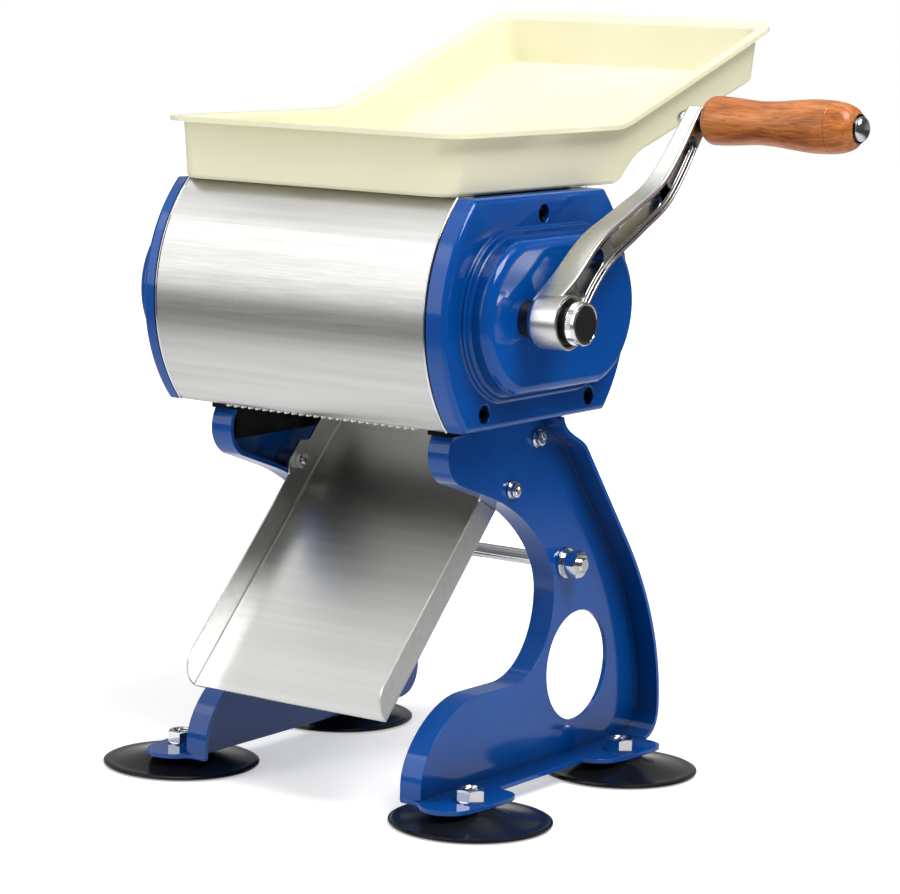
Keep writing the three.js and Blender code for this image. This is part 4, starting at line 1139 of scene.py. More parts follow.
@dataclass
class FrameFastenings:
    """The tie rod with its nuts and washers, and the screws through the frame webs."""

    web: float = 96.5
    rod_radius: float = 5.0
    rod_place: Point = (78.0, 146.5)
    washer: float = 10.4
    washer_thickness: float = 2.2
    across: float = 17.0
    nut_height: float = 8.5
    housing_screw: Point = (40.0, 235.0)
    chute_screw: Point = (12.0, 204.0)
    chute_half: float = 79.3
    spacer_radius: float = 7.0

    def rod(self) -> Work:
        """The tie rod, with threads cut at its ends."""
        end = self.web + SEAT_GAP + 2 * self.washer_thickness + self.nut_height + 3
        radius = self.rod_radius
        thread = end - 24
        pitch = 1.25
        half = [(0.0, radius), (thread, radius)]
        for i in range(17):
            x = thread + 0.4 + i * pitch
            half += [(x + 0.2, radius - 0.55), (x + pitch / 2 + 0.2, radius)]
        half += [(end - 0.9, radius), (end, radius - 0.9), (end, 0.0)]
        profile = [(-x, r) for x, r in reversed(half[1:])] + half
        return Work().turned(profile, Axis.X, self.rod_place, 40)

    def nut(self) -> Work:
        """A flat washer, a spring washer and a hexagon nut."""
        start = self.web + SEAT_GAP
        work = hex_nut(Axis.X, self.rod_place, start + 2 * self.washer_thickness, self.across,
                       self.nut_height)
        depth = self.washer_thickness - 0.1
        for near, radius in ((start, self.washer),
                             (start + self.washer_thickness, self.washer - 2)):
            work.prism(Axis.X, discs(self.rod_place, [
                (near, radius - 0.3), (near + 0.3, radius), (near + depth - 0.3, radius),
                (near + depth, radius - 0.3)], 64))
        return work

    def web_screw(self, at: Point, tip: float) -> Work:
        """A screw with a washer on the outer face of the web."""
        work = socket_screw(at, self.web + 1.5, head=4.9, height=3.4, socket=2.4, tip=tip)
        return work.prism(Axis.X, discs(at, [
            (self.web + 0.2, 5.9), (self.web + 0.5, 6.2), (self.web + 1.2, 6.2),
            (self.web + 1.5, 5.9)], SCREW_STEPS))

    def chute_nut(self, work: Work) -> Work:
        """Adds the nut inside the chute to a chute screw."""
        inner = self.chute_half - 1.5 - SEAT_GAP
        outline = hexagon(*self.chute_screw, 9.5, SCREW_STEPS)
        near = circle(*self.chute_screw, 4.3, SCREW_STEPS)
        return work.prism(Axis.X, [(inner - 4.5, near), (inner - 4.1, outline),
                                   (inner, outline)])

    def spacer(self) -> Work:
        """The tube between the frame web and the chute's ear."""
        low, high = self.chute_half + SEAT_GAP, self.web - 3.0 - SEAT_GAP
        radius, bore = self.spacer_radius, 3.4
        return Work().turned(
            [(low, bore), (low, radius - 0.4), (low + 0.4, radius), (high - 0.4, radius),
             (high, radius - 0.4), (high, bore)], Axis.X, self.chute_screw, 48, closed=True)

    def build(self, bench: Bench) -> None:
        """Lays the rod, nuts, screws and spacers."""
        bench.lay(self.rod(), "threaded_tie_rod", CHROME, ["tie_rod"])
        for side in Side:
            for work, name, finish, node in (
                    (self.nut(), "tie_rod_nut", CHROME, "tie_nut"),
                    (self.web_screw(self.housing_screw, 86.0), "upper_screw", CHROME,
                     "housing_screw"),
                    (self.chute_nut(self.web_screw(self.chute_screw, 70.8)), "lower_screw",
                     CHROME, "chute_screw"),
                    (self.spacer(), "chute_tube", PLATE_ALLOY, "chute_spacer")):
                bench.lay(work, f"{name}_{side.word}", finish, [f"{node}_{side.word}"], side)


@dataclass
class Chute:
    """The folded steel outlet chute with upturned sides."""

    width: float = 158.6
    sheet: float = 1.5
    slope: float = 46.0
    length: float = 228.0
    lip: Point = (-95.5, 65.5)
    flange: float = 20.5
    nose: float = 16.0
    ear: float = 28.0
    ear_start: float = 160.0
    ear_end: float = 192.0
    ear_rise: float = 8.0
    bend: float = 2.2

    def point(self, x: float, along: float, above: float) -> Vector:
        """Maps a place on the chute, along and above its floor, to the datum."""
        angle = math.radians(self.slope)
        return Vector((
            x,
            self.lip[0] + along * math.cos(angle) - above * math.sin(angle),
            self.lip[1] + along * math.sin(angle) + above * math.cos(angle)))

    def height(self, along: float) -> float:
        """How high the sides stand at a distance from the mouth."""
        if along < self.nose:
            low = 2 * self.sheet + self.bend
            back = 1 - along / self.nose
            return low + (self.flange - low) * math.sqrt(1 - back * back)
        rising = blend(self.flange, self.ear, (along - self.ear_start) / self.ear_rise)
        falling = blend(self.ear, self.flange,
                        (along - self.ear_end + self.ear_rise) / self.ear_rise)
        return min(rising, falling)

    def folded(self) -> Work:
        """The chute on the middle of its sheet."""
        stations = [self.nose * (1 - c) for _, c in quarter(12)] + [40, 80, 120]
        stations += [self.ear_start + self.ear_rise * i / 5 for i in range(6)]
        stations += [self.ear_end + self.ear_rise * (i / 5 - 1) for i in range(6)]
        stations += [216, self.length]
        half = (self.width - self.sheet) / 2
        rows = []
        for along in stations:
            top = self.height(along)
            fold = self.sheet / 2 + self.bend
            section = [(half, top + (fold - top) * i / 4) for i in range(4)]
            for sine, cosine in quarter(5):
                section.append((half - self.bend * (1 - cosine),
                                self.sheet / 2 + self.bend * (1 - sine)))
            section.append((half * 0.5, self.sheet / 2))
            whole = section + [(-x, above) for x, above in reversed(section)]
            rows.append([self.point(x, along, above) for x, above in whole])
        work = Work()
        work.sheet(rows)
        return work

    def build(self, bench: Bench) -> None:
        """Lays the chute."""
        bench.lay(self.folded(), "folded_chute", CHUTE_STEEL, ["chute"],
                  trim=Trim(wall=self.sheet, edge=0.3))


# Rollers, crank and handle


@dataclass
class Rollers:
    """The two stacks of knives, 25 in front and 24 behind, a knife pitch of 6 mm apart."""

    axis_height: float = 324.0
    spacing: float = 84.0
    counts: dict[str, int] = field(default_factory=lambda: {"front": 25, "rear": 24})
    pitch: float = 6.0
    radius: float = 45.0
    thickness: float = 1.6
    spacer: float = 22.0
    collar: float = 16.0
    shaft: float = 10.0
    end: float = 82.4

    def stack(self, count: int, y: float) -> Work:
        """Bevelled knives and spacers round one bore."""
        reach = (count - 1) * self.pitch / 2
        bore = self.shaft + SEAT_GAP
        edge = reach + self.pitch / 2
        profile = [(-self.end, bore), (-self.end, self.collar), (-edge, self.collar),
                   (-edge, self.spacer)]
        for i in range(count):
            x = i * self.pitch - reach
            profile += [(x - self.thickness / 2, self.spacer), (x - 0.3, self.radius - 6),
                        (x, self.radius), (x + 0.3, self.radius - 6),
                        (x + self.thickness / 2, self.spacer)]
        profile += [(edge, self.spacer), (edge, self.collar), (self.end, self.collar),
                    (self.end, bore)]
        return Work().turned(profile, Axis.X, (y, self.axis_height), 56, closed=True)

    def build(self, bench: Bench) -> None:
        """Lays both stacks on their rollers."""
        for end, way in (("front", -1), ("rear", 1)):
            stack = self.stack(self.counts[end], way * self.spacing / 2)
            bench.lay(stack, f"{end}_knives", HARD_STEEL, [f"{end}_blades"],
                      body=f"{end}_roller")


@dataclass
class Crank:
    """The cast arm with its hub, three slots, retaining knob and turned handle."""

    axis: Point = (-42.0, 324.0)
    angle: float = 35.0
    length: float = 208.5
    back: float = 150.0
    hub_thickness: float = 20.0
    tip_thickness: float = 12.0
    hub_half: float = 12.3
    tip_half: float = 8.0
    tip_reach: float = 6.0
    flare: float = 4.6
    flare_reach: float = 20.0
    crest: Point = (58.0, 5.5)
    trough: Point = (148.0, -11.0)
    rail: float = 5.0
    slots: tuple[Point, ...] = ((25.0, 62.0), (73.0, 140.0), (151.0, 189.0))
    channel_edge: float = 3.0
    channel_depth: float = 3.2
    hub_radius: float = 17.5
    hub_start: float = 149.0
    hub_length: float = 24.5
    recess: float = 15.0
    recess_depth: float = 2.5
    knob_radius: float = 13.6
    knob_length: float = 13.5
    seat_height: float = 5.2
    insert_radius: float = 11.6
    grip_start: float = 166.0
    grip_length: float = 111.0
    spindle: float = 5.0

    @property
    def handle(self) -> Point:
        """Where the handle's axis is, in y and z."""
        angle = math.radians(self.angle)
        return (self.axis[0] + self.length * math.cos(angle),
                self.axis[1] + self.length * math.sin(angle))

    @property
    def recess_floor(self) -> float:
        """How far out the floor of the hub's recess is."""
        return self.hub_start + self.hub_length - self.recess_depth

    @property
    def grip_end(self) -> float:
        """Where the grip's round end is."""
        return self.grip_start + self.grip_length

    @property
    def bore(self) -> float:
        """The radius of the holes that the spindle goes through."""
        return self.spindle + SEAT_GAP

    def middle(self, reach: float) -> Point:
        """The arm's middle line: rise at a reach, on a smooth curve through its marks."""
        marks = [(-20.0, -2.0), (0.0, 0.0), self.crest,
                 ((self.crest[0] + self.trough[0]) / 2 + 2, -3.6), self.trough,
                 (self.length + self.tip_reach, 0.5), (self.length + 20, 2.0)]
        k = max(i for i in range(1, len(marks) - 2) if marks[i][0] <= max(reach, 0.0))
        before, low, high, after = (Vector(marks[i]) for i in range(k - 1, k + 3))
        share = (reach - low.x) / (high.x - low.x)
        start = (high.y - before.y) / (high.x - before.x) * (high.x - low.x)
        end = (after.y - low.y) / (after.x - low.x) * (high.x - low.x)
        return reach, cubic(low.y, high.y, start, end, share)

    def half_width(self, reach: float) -> float:
        """Half the arm's width at a reach, flared where it meets the hub."""
        share = min(max(reach / self.length, 0.0), 1.0)
        flare = self.flare * math.exp(-(max(reach, 0.0) / self.flare_reach) ** 2)
        return self.hub_half + (self.tip_half - self.hub_half) * share + flare

    def strip(self, edge: float, start: float, end: float, bow: float, steps: int = 36,
              square: float = 2.0) -> list[Point]:
        """A closed strip round the middle line.

        Args:
            edge: how far it keeps from the arm's sides.
            start: the reach where its straight sides start.
            end: the reach where they end.
            bow: how far the ends stand past them.
            steps: the steps along each side.
            square: 2 for a round end, more for a squarer one.

        Returns:
            The outline, anticlockwise, with the same count for every edge.
        """
        reaches = [start + (end - start) * i / steps for i in range(steps + 1)]
        line = [self.middle(reach) for reach in reaches]
        halves = [self.half_width(reach) - edge for reach in reaches]
        low = [(x, y - h) for (x, y), h in zip(line, halves)]
        high = [(x, y + h) for (x, y), h in zip(line, halves)]

        def end_points(centre: Point, half: float, way: int) -> list[Point]:
            """The bowed end between the lower and the upper side."""
            found = []
            for i in range(1, 12):
                angle = -math.pi / 2 + math.pi * i / 12
                u = math.cos(angle) ** (2 / square)
                v = math.copysign(abs(math.sin(angle)) ** (2 / square), math.sin(angle))
                found.append((centre[0] + way * bow * u, centre[1] + way * half * v))
            return found

        return (low + end_points(line[-1], halves[-1], 1) + high[::-1]
                + end_points(line[0], halves[0], -1))

    def face(self, reach: float) -> float:
        """The x of the arm's front face at a reach, sloping down to the tip."""
        start, stop = self.hub_radius + 6, self.length - 8
        share = min(max((reach - start) / (stop - start), 0.0), 1.0)
        return self.back + self.hub_thickness - (self.hub_thickness - self.tip_thickness) * share

    def onto(self, work: Work) -> Work:
        """Turns a piece drawn along (reach, rise) into place on the front shaft."""
        turn = Matrix.Rotation(math.radians(self.angle), 4, "X")
        work.bm.transform(Matrix.Translation((0, *self.axis)) @ turn)
        return work

    def arm(self) -> Work:
        """The cast arm: rounded rails round a sunk channel, and slots through its floor."""
        work = Work()

        def front(edge: float, depth: float, lift: float = 0.0, **span: float) -> Row:
            """A strip at a depth under the front face."""
            return [Vector((self.face(p[0]) - depth + lift, *p))
                    for p in self.strip(edge, **span)]

        def rear(edge: float, height: float, **span: float) -> Row:
            """A strip at a height over the back."""
            return [Vector((self.back + height, *p)) for p in self.strip(edge, **span)]

        outer = dict(start=0.0, end=self.length + self.tip_reach - 2.5, bow=2.5, square=2.4)
        rim, heel = 2.4, 1.6
        skin = work.sheet(
            [rear(heel * (1 - c), heel * (1 - s), **outer) for s, c in quarter(3)[::-1]]
            + [front(rim * (1 - c), rim * (1 - s), **outer) for s, c in quarter(4)], closed=True)
        channel = dict(start=22.0, end=self.length - 20, bow=5.0)
        edge, depth, lip, foot = self.channel_edge, self.channel_depth, 0.9, 1.2
        sunk = work.sheet(
            [front(edge + lip * s - lip, lip * (1 - c), **channel) for s, c in quarter(3)]
            + [front(edge + foot * (1 - c), depth, foot * (1 - s), **channel)
               for s, c in quarter(3)], closed=True)
        floors, backs = [], []
        near, far = 0.9, 0.7
        for start, end in self.slots:
            size = dict(start=start + 6, end=end - 6, bow=6.0, steps=20, square=2.3)
            slot = work.sheet(
                [front(self.rail + near * (s - 1), depth, -near * (1 - c), **size)
                 for s, c in quarter(3)]
                + [rear(self.rail + far * (s - 1), far * (1 - c), **size)
                   for s, c in quarter(2)[::-1]], closed=True)
            floors.append(slot[0])
            backs.append(slot[-1])
        work.fill(skin[-1], sunk[0])
        work.fill(sunk[-1], *floors)
        work.fill(skin[0], *backs)
        start, end = self.hub_start, self.hub_start + self.hub_length
        radius, recess, floor, bore = self.hub_radius, self.recess, self.recess_floor, 8.3
        work.turned([
            (start, bore), (start, radius - 4.2), (start + 1.4, radius - 2.6),
            (start + 4.4, radius - 0.4), (start + 5.6, radius), (end - 1.1, radius),
            (end - 0.3, radius - 0.4), (end, radius - 1.1), (end - 0.1, recess + 0.4),
            (end - 0.6, recess), (floor + 0.6, recess), (floor, recess - 0.6), (floor, bore)],
            Axis.X, (0, 0), 96, closed=True)
        return self.onto(work)

    def knob(self) -> Work:
        """The knurled retaining knob with a pocket for its insert."""
        start = self.recess_floor + SEAT_GAP
        end = start + self.knob_length
        at, radius, count, stem = self.axis, self.knob_radius, 144, 4.0
        pocket = self.insert_radius + SEAT_GAP

        plain, low = circle(*at, radius, count), circle(*at, radius - 0.5, count)
        knurled = [low[i] if i % 2 else plain[i] for i in range(count)]
        near = start + self.seat_height
        rows = discs(at, [(start - 17, stem), (near, stem), (near, radius - 1.0),
                          (near + 0.3, radius - 0.3), (near + 0.9, radius)], count)
        rows += [(near + 1.1, knurled), (end - 3.4, knurled)]
        rows += discs(at, [(end - 3.1, radius), (end - 0.9, radius), (end - 0.2, radius - 0.35),
                           (end, radius - 0.9), (end, pocket + 0.3), (end - 0.3, pocket),
                           (end - 2, pocket)], count)
        return Work().prism(Axis.X, rows)

    def knob_shade_ring(self) -> Work:
        """Painted shade: a black ring under the knob, down in the hub's recess, standing in for the
        recess's shade.
        """
        low = self.recess_floor + 0.1
        high = low + 0.2 + self.seat_height - 0.2
        inner, outer, rim = 4.2, self.knob_radius - 1.2, self.recess
        return Work().turned(
            [(low, inner), (low, rim - 0.9), (low + 0.4, rim - 0.6), (low + 0.8, rim - 0.9),
             (low + 1.0, outer), (high, outer), (high, inner)],
            Axis.X, self.axis, 72, closed=True)

    def insert(self) -> Work:
        """The black disc pressed into the knob."""
        end = self.recess_floor + SEAT_GAP + self.knob_length
        radius = self.insert_radius
        return Work().turned(
            [(end - 1.7, 0.0), (end - 1.7, radius), (end - 0.5, radius),
             (end - 0.15, radius - 0.35), (end, radius - 0.9), (end + 0.1, radius - 3),
             (end + 0.15, 0.0)], Axis.X, self.axis, 72)

    def grip(self) -> Work:
        """The turned grip: a flat-ended swell, a waist, a fine ring and a full round end."""
        marks = [(0, 11.0), (0.5, 12.8), (1.8, 14.4), (5, 16.0), (17, 15.8), (38, 14.3),
                 (52, 14.8), (66, 16.3), (80, 17.4), (91.8, 17.2), (92.6, 17.1), (93.2, 16.6),
                 (93.8, 17.0), (95, 16.95), (101, 15.9), (107, 13.6), (111, 9.6)]
        profile = [(self.grip_start, self.bore)]
        profile += [(self.grip_start + x, radius) for x, radius in smooth_profile(marks, 5)]
        profile += [(self.grip_end, self.bore)]
        return Work().turned(profile, Axis.X, self.handle, 72, closed=True)

    def rivet(self) -> Work:
        """The spindle with its domed head behind the arm."""
        face, end = self.back - SEAT_GAP, self.grip_end + 3
        dome = [(face - 8 * c, 6 * s) for s, c in quarter(8)]
        return Work().turned(dome + [(face, self.spindle), (end, self.spindle), (end, 0.0)],
                             Axis.X, self.handle, 48)

    def washer(self) -> Work:
        """The plain washer between the arm and the grip, black as painted shade for the shaded gap
        between them.
        """
        low = self.back + self.tip_thickness + SEAT_GAP
        high = self.grip_start - SEAT_GAP
        return Work().turned(
            [(low, self.bore), (low, 8.7), (low + 0.3, 9.0), (high - 0.3, 9.0), (high, 8.7),
             (high, self.bore)], Axis.X, self.handle, 48, closed=True)

    def dome_seat(self) -> Work:
        """The dark washer under the end nut."""
        start, bore = self.grip_end, self.bore
        return Work().turned(
            [(start + 0.1, bore), (start + 0.1, 9.4), (start + 0.5, 9.7), (start + 0.9, 9.4),
             (start + 0.9, bore)], Axis.X, self.handle, 48, closed=True)

    def dome(self) -> Work:
        """The bright domed end nut."""
        start = self.grip_end + SEAT_GAP
        profile = [(start, self.bore), (start, 7.8), (start + 0.3, 8.2), (start + 1.0, 8.2)]
        profile += [(start + 1.0 + 4.8 * s, 8.2 * c) for s, c in quarter(8)[1:]]
        return Work().turned(profile, Axis.X, self.handle, 48)

    def build(self, bench: Bench) -> None:
        """Lays the arm, the knob and the handle."""
        for work, name, finish, nodes in (
                (self.arm(), "cast_crank_arm", CAST_ALLOY, ["crank_arm"]),
                (self.knob(), "knurled_knob", CHROME, ["retaining_knob"]),
                (self.insert(), "knob_face", BLACK_PLASTIC_AND_SHADE, ["knob_insert"]),
                (self.rivet(), "handle_rivet", CHROME, ["handle_spindle"]),
                # Painted shade: the black ring stands in for the dark recess round the knob.
                (self.knob_shade_ring(), "knob_shade_ring", BLACK_PLASTIC_AND_SHADE, []),
                # Painted shade: the grip washer is black to stand in for the shade between the arm
                # and the grip.
                (self.washer(), "grip_washer", BLACK_STEEL_AND_SHADE, ["handle_washer"]),
                (self.dome_seat(), "dome_seat", BLACK_STEEL_AND_SHADE, []),
                (self.dome(), "handle_dome_nut", CHROME, ["handle_cap_nut"])):
            bench.lay(work, name, finish, nodes, body="front_roller")
        bench.lay(self.grip(), "turned_grip", WOOD, ["handle_grip"], body="grip")


def smooth_profile(marks: Sequence[Point], steps: int) -> list[Point]:
    """Rounds a profile through its marks with an even number of steps between each pair."""
    found = [marks[0]]
    for k in range(len(marks) - 1):
        low, high = marks[k], marks[k + 1]
        before, after = marks[max(k - 1, 0)], marks[min(k + 2, len(marks) - 1)]
        start = Vector(((high[0] - before[0]), (high[1] - before[1]))) / 2
        end = Vector(((after[0] - low[0]), (after[1] - low[1]))) / 2
        limit = Vector(high) - Vector(low)
        start = start.normalized() * min(start.length, limit.length)
        end = end.normalized() * min(end.length, limit.length)
        found += [tuple(cubic(Vector(low), Vector(high), start, end, i / steps))
                  for i in range(1, steps + 1)]
    return found


# Feed tray


@dataclass
class FeedTray:
    """The moulded tray: flat over the housing, rising behind, with a flat lip and a throat."""

    base: float = 398.8
    half: float = 108.0
    draft: float = 0.09
    wall: float = 3.0
    front: float = -84.0
    knee: float = 104.0
    rear: float = 292.0
    depth: float = 40.0
    rear_depth: float = 37.0
    incline: float = 18.5
    corner: float = 13.0
    lip_corner: float = 19.0
    lip_reach: float = 7.5
    throat: Point = (74.0, 24.0)
    neck: float = 24.0
    fillet: float = 1.6
    lip_round: float = 2.4

    @property
    def rise(self) -> float:
        """The rise of the rear part for each millimetre towards the rear."""
        return math.tan(math.radians(self.incline))

    def rim(self, y: float) -> float:
        """The height of the rim at y."""
        flat = self.base + self.depth
        start, stop = self.knee - 14, self.knee + 8
        if y <= start:
            return flat
        if y >= stop:
            return flat + (y - self.knee + 4) * self.rise
        share = (y - start) / (stop - start)
        return flat + 12 * self.rise * share ** 2

    def floor_marks(self) -> list[Point]:
        """The floor's side profile on the middle of its wall, from the knee to the rear."""
        level = self.base + self.wall / 2
        end = self.base + self.depth + (self.rear - self.knee + 4) * self.rise - self.rear_depth
        marks = traced((self.knee + 3, level), (10, [
            (self.knee + 18, level + 2), (self.knee + 18, level + 18),
            (self.knee + 50, level + 25)]))
        return marks + [(self.rear, end + self.wall / 2)]

    def floor(self, y: float) -> float:
        """The height of the floor's middle surface at y."""
        marks = self.floor_marks()
        if y <= marks[0][0]:
            return marks[0][1]
        for (y0, z0), (y1, z1) in zip(marks, marks[1:]):
            if y <= y1:
                return z0 + (z1 - z0) * (y - y0) / (y1 - y0)
        return marks[-1][1]

    def stations(self) -> list[float]:
        """Places along y where every ring has a point on its long sides."""
        reach = self.throat[1]
        near = [-58.0, -reach, reach, 60.0, self.knee - 14, self.knee - 9, self.knee - 3]
        return near + [y for y, _ in self.floor_marks()[:-1]] + [190.0, 230.0, 262.0]

    def ring(self, spread: float, out: float, corner: float,
             height: Callable[[float], float]) -> Row:
        """A closed ring round the tray.

        Args:
            spread: how far its sides are outside the outer floor edge.
            out: how far its ends are outside the front and the rear.
            corner: its corner radius in plan.
            height: its height at y.

        Returns:
            Points, anticlockwise from the left front corner.
        """
        half, front, rear = self.half + spread, self.front - out, self.rear + out
        arc = quarter(7)
        plan = [(-half + corner * (1 - c), front + corner * (1 - s)) for s, c in arc]
        plan += [(half - corner * (1 - s), front + corner * (1 - c)) for s, c in arc]
        plan += [(half, y) for y in self.stations()]
        plan += [(half - corner * (1 - c), rear - corner * (1 - s)) for s, c in arc]
        plan += [(-half + corner * (1 - s), rear - corner * (1 - c)) for s, c in arc]
        plan += [(-half, y) for y in reversed(self.stations())]
        return [Vector((x, y, height(y))) for x, y in plan]

    def moulding(self) -> Work:
        """The tray on the middle of its wall."""
        middle = self.wall / 2
        fillet = self.fillet
        rows = []
        for sine, cosine in quarter(4):
            inset = -middle - fillet * (1 - sine)
            rows.append(self.ring(inset, inset, self.corner - fillet * (1 - sine),
                                  lambda y, c=cosine: self.floor(y) + fillet * (1 - c)))
        spread = self.draft * (self.depth - 3.0)
        bend = self.lip_round
        for sine, cosine in quarter(3):
            out = bend * (1 - cosine)
            rows.append(self.ring(spread - middle + out, -middle + out, self.corner + out,
                                  lambda y, s=sine: self.rim(y) - middle - bend * (1 - s)))
        edge = self.draft * self.depth + self.lip_reach
        rows.append(self.ring(edge, self.lip_reach, self.lip_corner,
                              lambda y: self.rim(y) - middle))
        work = Work()
        inner = work.sheet(rows, closed=True)[0]
        self.lay_floor(work, [vert.co.copy() for vert in inner])
        return work

    def lay_floor(self, work: Work, ring: Row) -> None:
        """Fills the floor inside its ring, with the throat and its neck."""
        arc, long = 8, len(self.stations())
        front_left, front_right = ring[:arc], ring[arc:2 * arc]
        right = ring[2 * arc:2 * arc + long]
        rear_right = ring[2 * arc + long:3 * arc + long]
        rear_left = ring[3 * arc + long:4 * arc + long]
        left = ring[4 * arc + long:][::-1]
        pairs = list(zip(front_left[::-1], front_right))
        pairs += list(zip(left, right))
        pairs += list(zip(rear_left[::-1], rear_right))
        reach = self.throat[0]
        rows = [[a, Vector((-reach, a.y, a.z)), Vector((reach, a.y, a.z)), b] for a, b in pairs]
        flat = set(sum(work.sheet(rows), []))
        hole = [face for face in work.bm.faces
                if abs(face.calc_center_median().y) < self.throat[1]
                and all(abs(vert.co.x) <= reach + 1e-6 and vert in flat for vert in face.verts)]
        edges = [edge for face in hole for edge in face.edges]
        bmesh.ops.delete(work.bm, geom=hole, context="FACES_ONLY")
        made = bmesh.ops.extrude_edge_only(work.bm, edges=edges)["geom"]
        sunk = [item for item in made if isinstance(item, BMVert)]
        bmesh.ops.translate(work.bm, verts=sunk, vec=(0, 0, -self.neck - self.wall / 2))

    def build(self, bench: Bench) -> None:
        """Lays the tray."""
        bench.lay(self.moulding(), "moulded_tray", TRAY_PLASTIC, ["feed_tray"],
                  trim=Trim(wall=self.wall, edge=1.1, steps=3), body="tray")


# Inner pieces that keep their frame shape


def dress_frame(frame: dict) -> None:
    """Gives every frame node that stays visible its finish."""
    kept = {
        # Painted shade: the side plates take the black finish because they sit in deep shade inside
        # the frame.
        "side_plate_": BLACK_STEEL_AND_SHADE, "housing_bar_": PLATE_ALLOY, "front_bush_": BRONZE,
        "rear_bush_": BRONZE, "front_comb": COMB_PLASTIC, "rear_comb": COMB_PLASTIC,
        "drive_": HARD_STEEL, "driven_": HARD_STEEL,
    }
    for name, node in frame["nodes"].items():
        for start, finish in kept.items():
            if name.startswith(start):
                for place in node.material_slots:
                    place.material = finish.material()
                log.info("%s keeps its frame shape", name)


# Studio


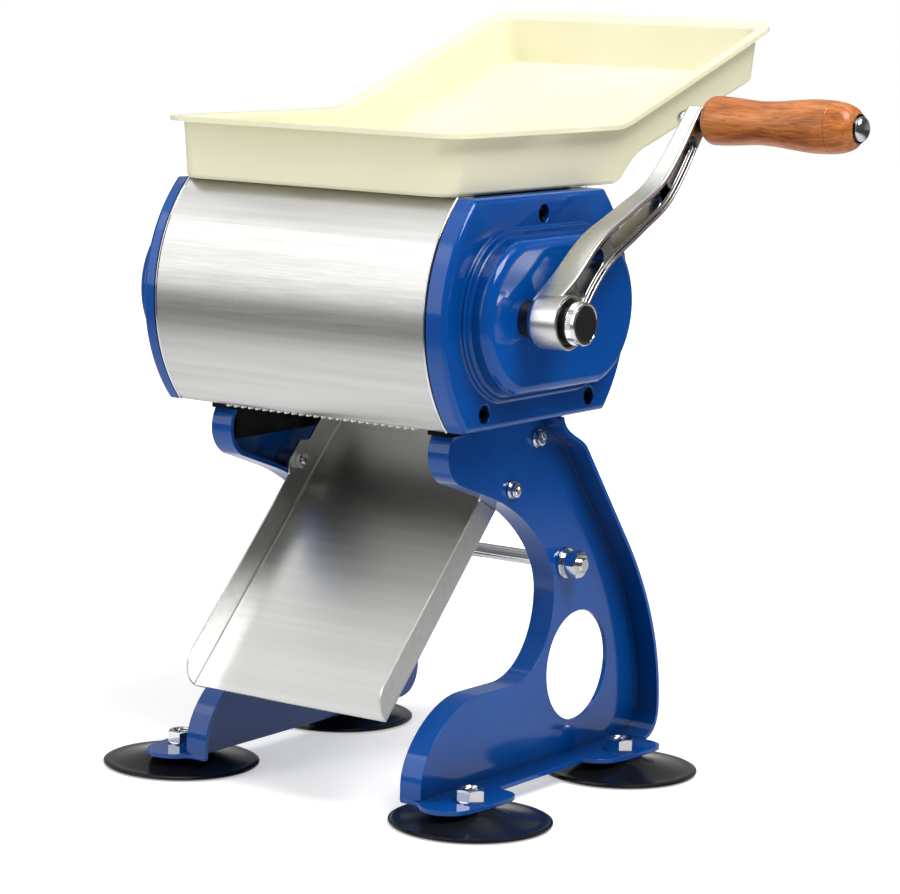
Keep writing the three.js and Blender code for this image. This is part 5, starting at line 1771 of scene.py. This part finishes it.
@dataclass
class Studio:
    """A pale table in a dimmer room, soft lamps and a camera at the photograph's angle."""

    eye: tuple[float, float, float] = (1277.5, -1745.4, 556.4)
    forward: tuple[float, float, float] = (-0.567, 0.8096, -0.1519)
    upward: tuple[float, float, float] = (-0.1075, 0.1102, 0.9881)
    focal_pixels: float = 3301.04
    sensor: float = 36.0

    def camera(self, bench: Bench) -> None:
        """Sets the camera where the photograph was taken from."""
        data = bpy.data.cameras.new("view")
        data.sensor_fit = "HORIZONTAL"
        data.sensor_width = self.sensor
        data.lens = self.focal_pixels / PHOTO_WIDTH * self.sensor
        data.clip_end = 50.0
        camera = placed("view", data)
        ahead = Vector(self.forward).normalized()
        right = ahead.cross(Vector(self.upward)).normalized()
        up = right.cross(ahead)
        turn = Matrix((right, up, -ahead)).transposed().to_4x4()
        camera.matrix_world = Matrix.Translation(bench.point(*self.eye)) @ turn
        bpy.context.scene.camera = camera

    def lamp(self, name: str, place: Vector, aim: Vector, size: Point, power: float) -> None:
        """Hangs one rectangular soft lamp.

        Args:
            name: its name.
            place: where it hangs, in metres.
            aim: the point that it faces.
            size: its width and height in metres.
            power: its power in watts.
        """
        data = bpy.data.lights.new(name, "AREA")
        data.shape = "RECTANGLE"
        data.size, data.size_y = size
        data.energy = power
        lamp = placed(name, data)
        lamp.location = place
        lamp.rotation_euler = (aim - place).to_track_quat("-Z", "Y").to_euler()

    def floor(self) -> None:
        """Lays the pale worktop, white to the camera except where it is in shadow."""
        work = bmesh.new()
        bmesh.ops.create_grid(work, x_segments=4, y_segments=4, size=6.0)
        bmesh.ops.translate(work, verts=work.verts, vec=(0, 0, -0.0005))
        mesh = bpy.data.meshes.new("worktop")
        work.to_mesh(mesh)
        work.free()
        floor = placed("worktop", mesh)
        made = bpy.data.materials.new("pale worktop")
        made.use_nodes = True
        nodes = Nodes(made.node_tree)
        shader = made.node_tree.nodes["Principled BSDF"]
        path = nodes.add("LightPath").outputs
        glossy = path["Is Glossy Ray"]
        place = nodes.add("TexCoord").outputs["Object"]
        away = nodes.add("VectorMath", {0: place}, operation="LENGTH").outputs["Value"]
        axes = nodes.add("SeparateXYZ", {"Vector": place}).outputs
        times, added = partial(nodes.math, "MULTIPLY"), partial(nodes.math, "ADD")
        faded = nodes.faded
        left = faded(axes["X"], -0.25, 0.25, 1.0, 0.0)
        nodes.give(shader, {
            "Base Color": (0.86, 0.86, 0.86, 1), "Roughness": 0.6, "Emission Color": WHITE,
            "Emission Strength": added(
                times(path["Is Camera Ray"], faded(away, 0.45, 1.1, 0.45, 1.0)),
                times(times(glossy, left), faded(away, 0.3, 1.3, 0.33, 0.0)))})
        behind = faded(axes["Y"], 0.0, 1.5, 0.0, 1.0)
        sweep = times(faded(away, 5.0, 6.4, 0.0, 0.14), behind)
        dim = added(faded(away, 0.5, 1.3, 0.5, 0.06),
                    times(left, faded(away, 0.5, 1.3, 0.38, 0.18)))
        room = nodes.add("Emission", {"Strength": added(sweep, dim)}).outputs["Emission"]
        share = times(glossy, faded(away, 0.5, 1.3, 0.5, 1.0))
        nodes.give(made.node_tree.nodes["Material Output"],
                   {"Surface": nodes.mixed(share, shader.outputs["BSDF"], room)})
        mesh.materials.append(made)

    def world(self) -> None:
        """White to the camera, a soft grey as light, and a pale sweep behind in reflections."""
        world = bpy.data.worlds.new("studio")
        bpy.context.scene.world = world
        world.use_nodes = True
        nodes = Nodes(world.node_tree)
        world.node_tree.nodes.clear()
        path = nodes.add("LightPath").outputs
        place = nodes.add("TexCoord").outputs["Generated"]
        axes = nodes.add("SeparateXYZ", {"Vector": place}).outputs
        behind = nodes.faded(axes["Y"], 0.3, 0.8, 0.0, 1.0)
        low = nodes.faded(axes["Z"], 0.12, 0.4, 0.18, 0.0)
        left = nodes.faded(axes["X"], -0.3, 0.2, 0.25, 0.08)
        glossy = nodes.math("ADD", nodes.math("MULTIPLY", behind, low), left)
        light, mirror, view = (
            nodes.add("Background", {"Color": WHITE, "Strength": strength}).outputs["Background"]
            for strength in (0.28, glossy, 1.0))
        seen = nodes.math("MAXIMUM", path["Is Camera Ray"], path["Is Transmission Ray"])
        shown = nodes.mixed(seen, nodes.mixed(path["Is Glossy Ray"], light, mirror), view)
        nodes.add("OutputWorld", {"Surface": shown})

    def build(self, bench: Bench) -> None:
        """Sets the camera, floor, world and lamps."""
        self.camera(bench)
        self.floor()
        self.world()
        aim = bench.point(0, 0, 250)
        lamps = {
            "key": ((-1.45, -1.95, 0.95), (1.85, 1.85), 18.0),
            "side": ((1.3, -0.45, 2.05), (1.3, 1.3), 60.0),
            "top": ((-1.05, -1.0, 2.0), (2.5, 2.1), 14.5),
            "rear top": ((-0.9, 0.5, 2.2), (2.3, 1.2), 7.5),
            "rim": ((1.0, 0.3, 2.1), (1.1, 1.1), 6.0),
        }
        for name, (place, size, power) in lamps.items():
            self.lamp(name, aim + Vector(place), aim, size, power)
        bpy.context.scene.view_settings.view_transform = "Standard"


def main() -> None:
    """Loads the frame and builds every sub-assembly over it."""
    logging.basicConfig(level=logging.INFO, format="%(name)s: %(message)s")
    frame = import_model()
    bench = Bench.from_frame()
    Studio().build(bench)
    for part in (Housing(), SideFrames(), Feet(), FrameFastenings(), Chute(), Rollers(), Crank(),
                 FeedTray()):
        part.build(bench)
        log.info("%s is in place", type(part).__name__)
    dress_frame(frame)


if __name__ == "__main__":
    main()
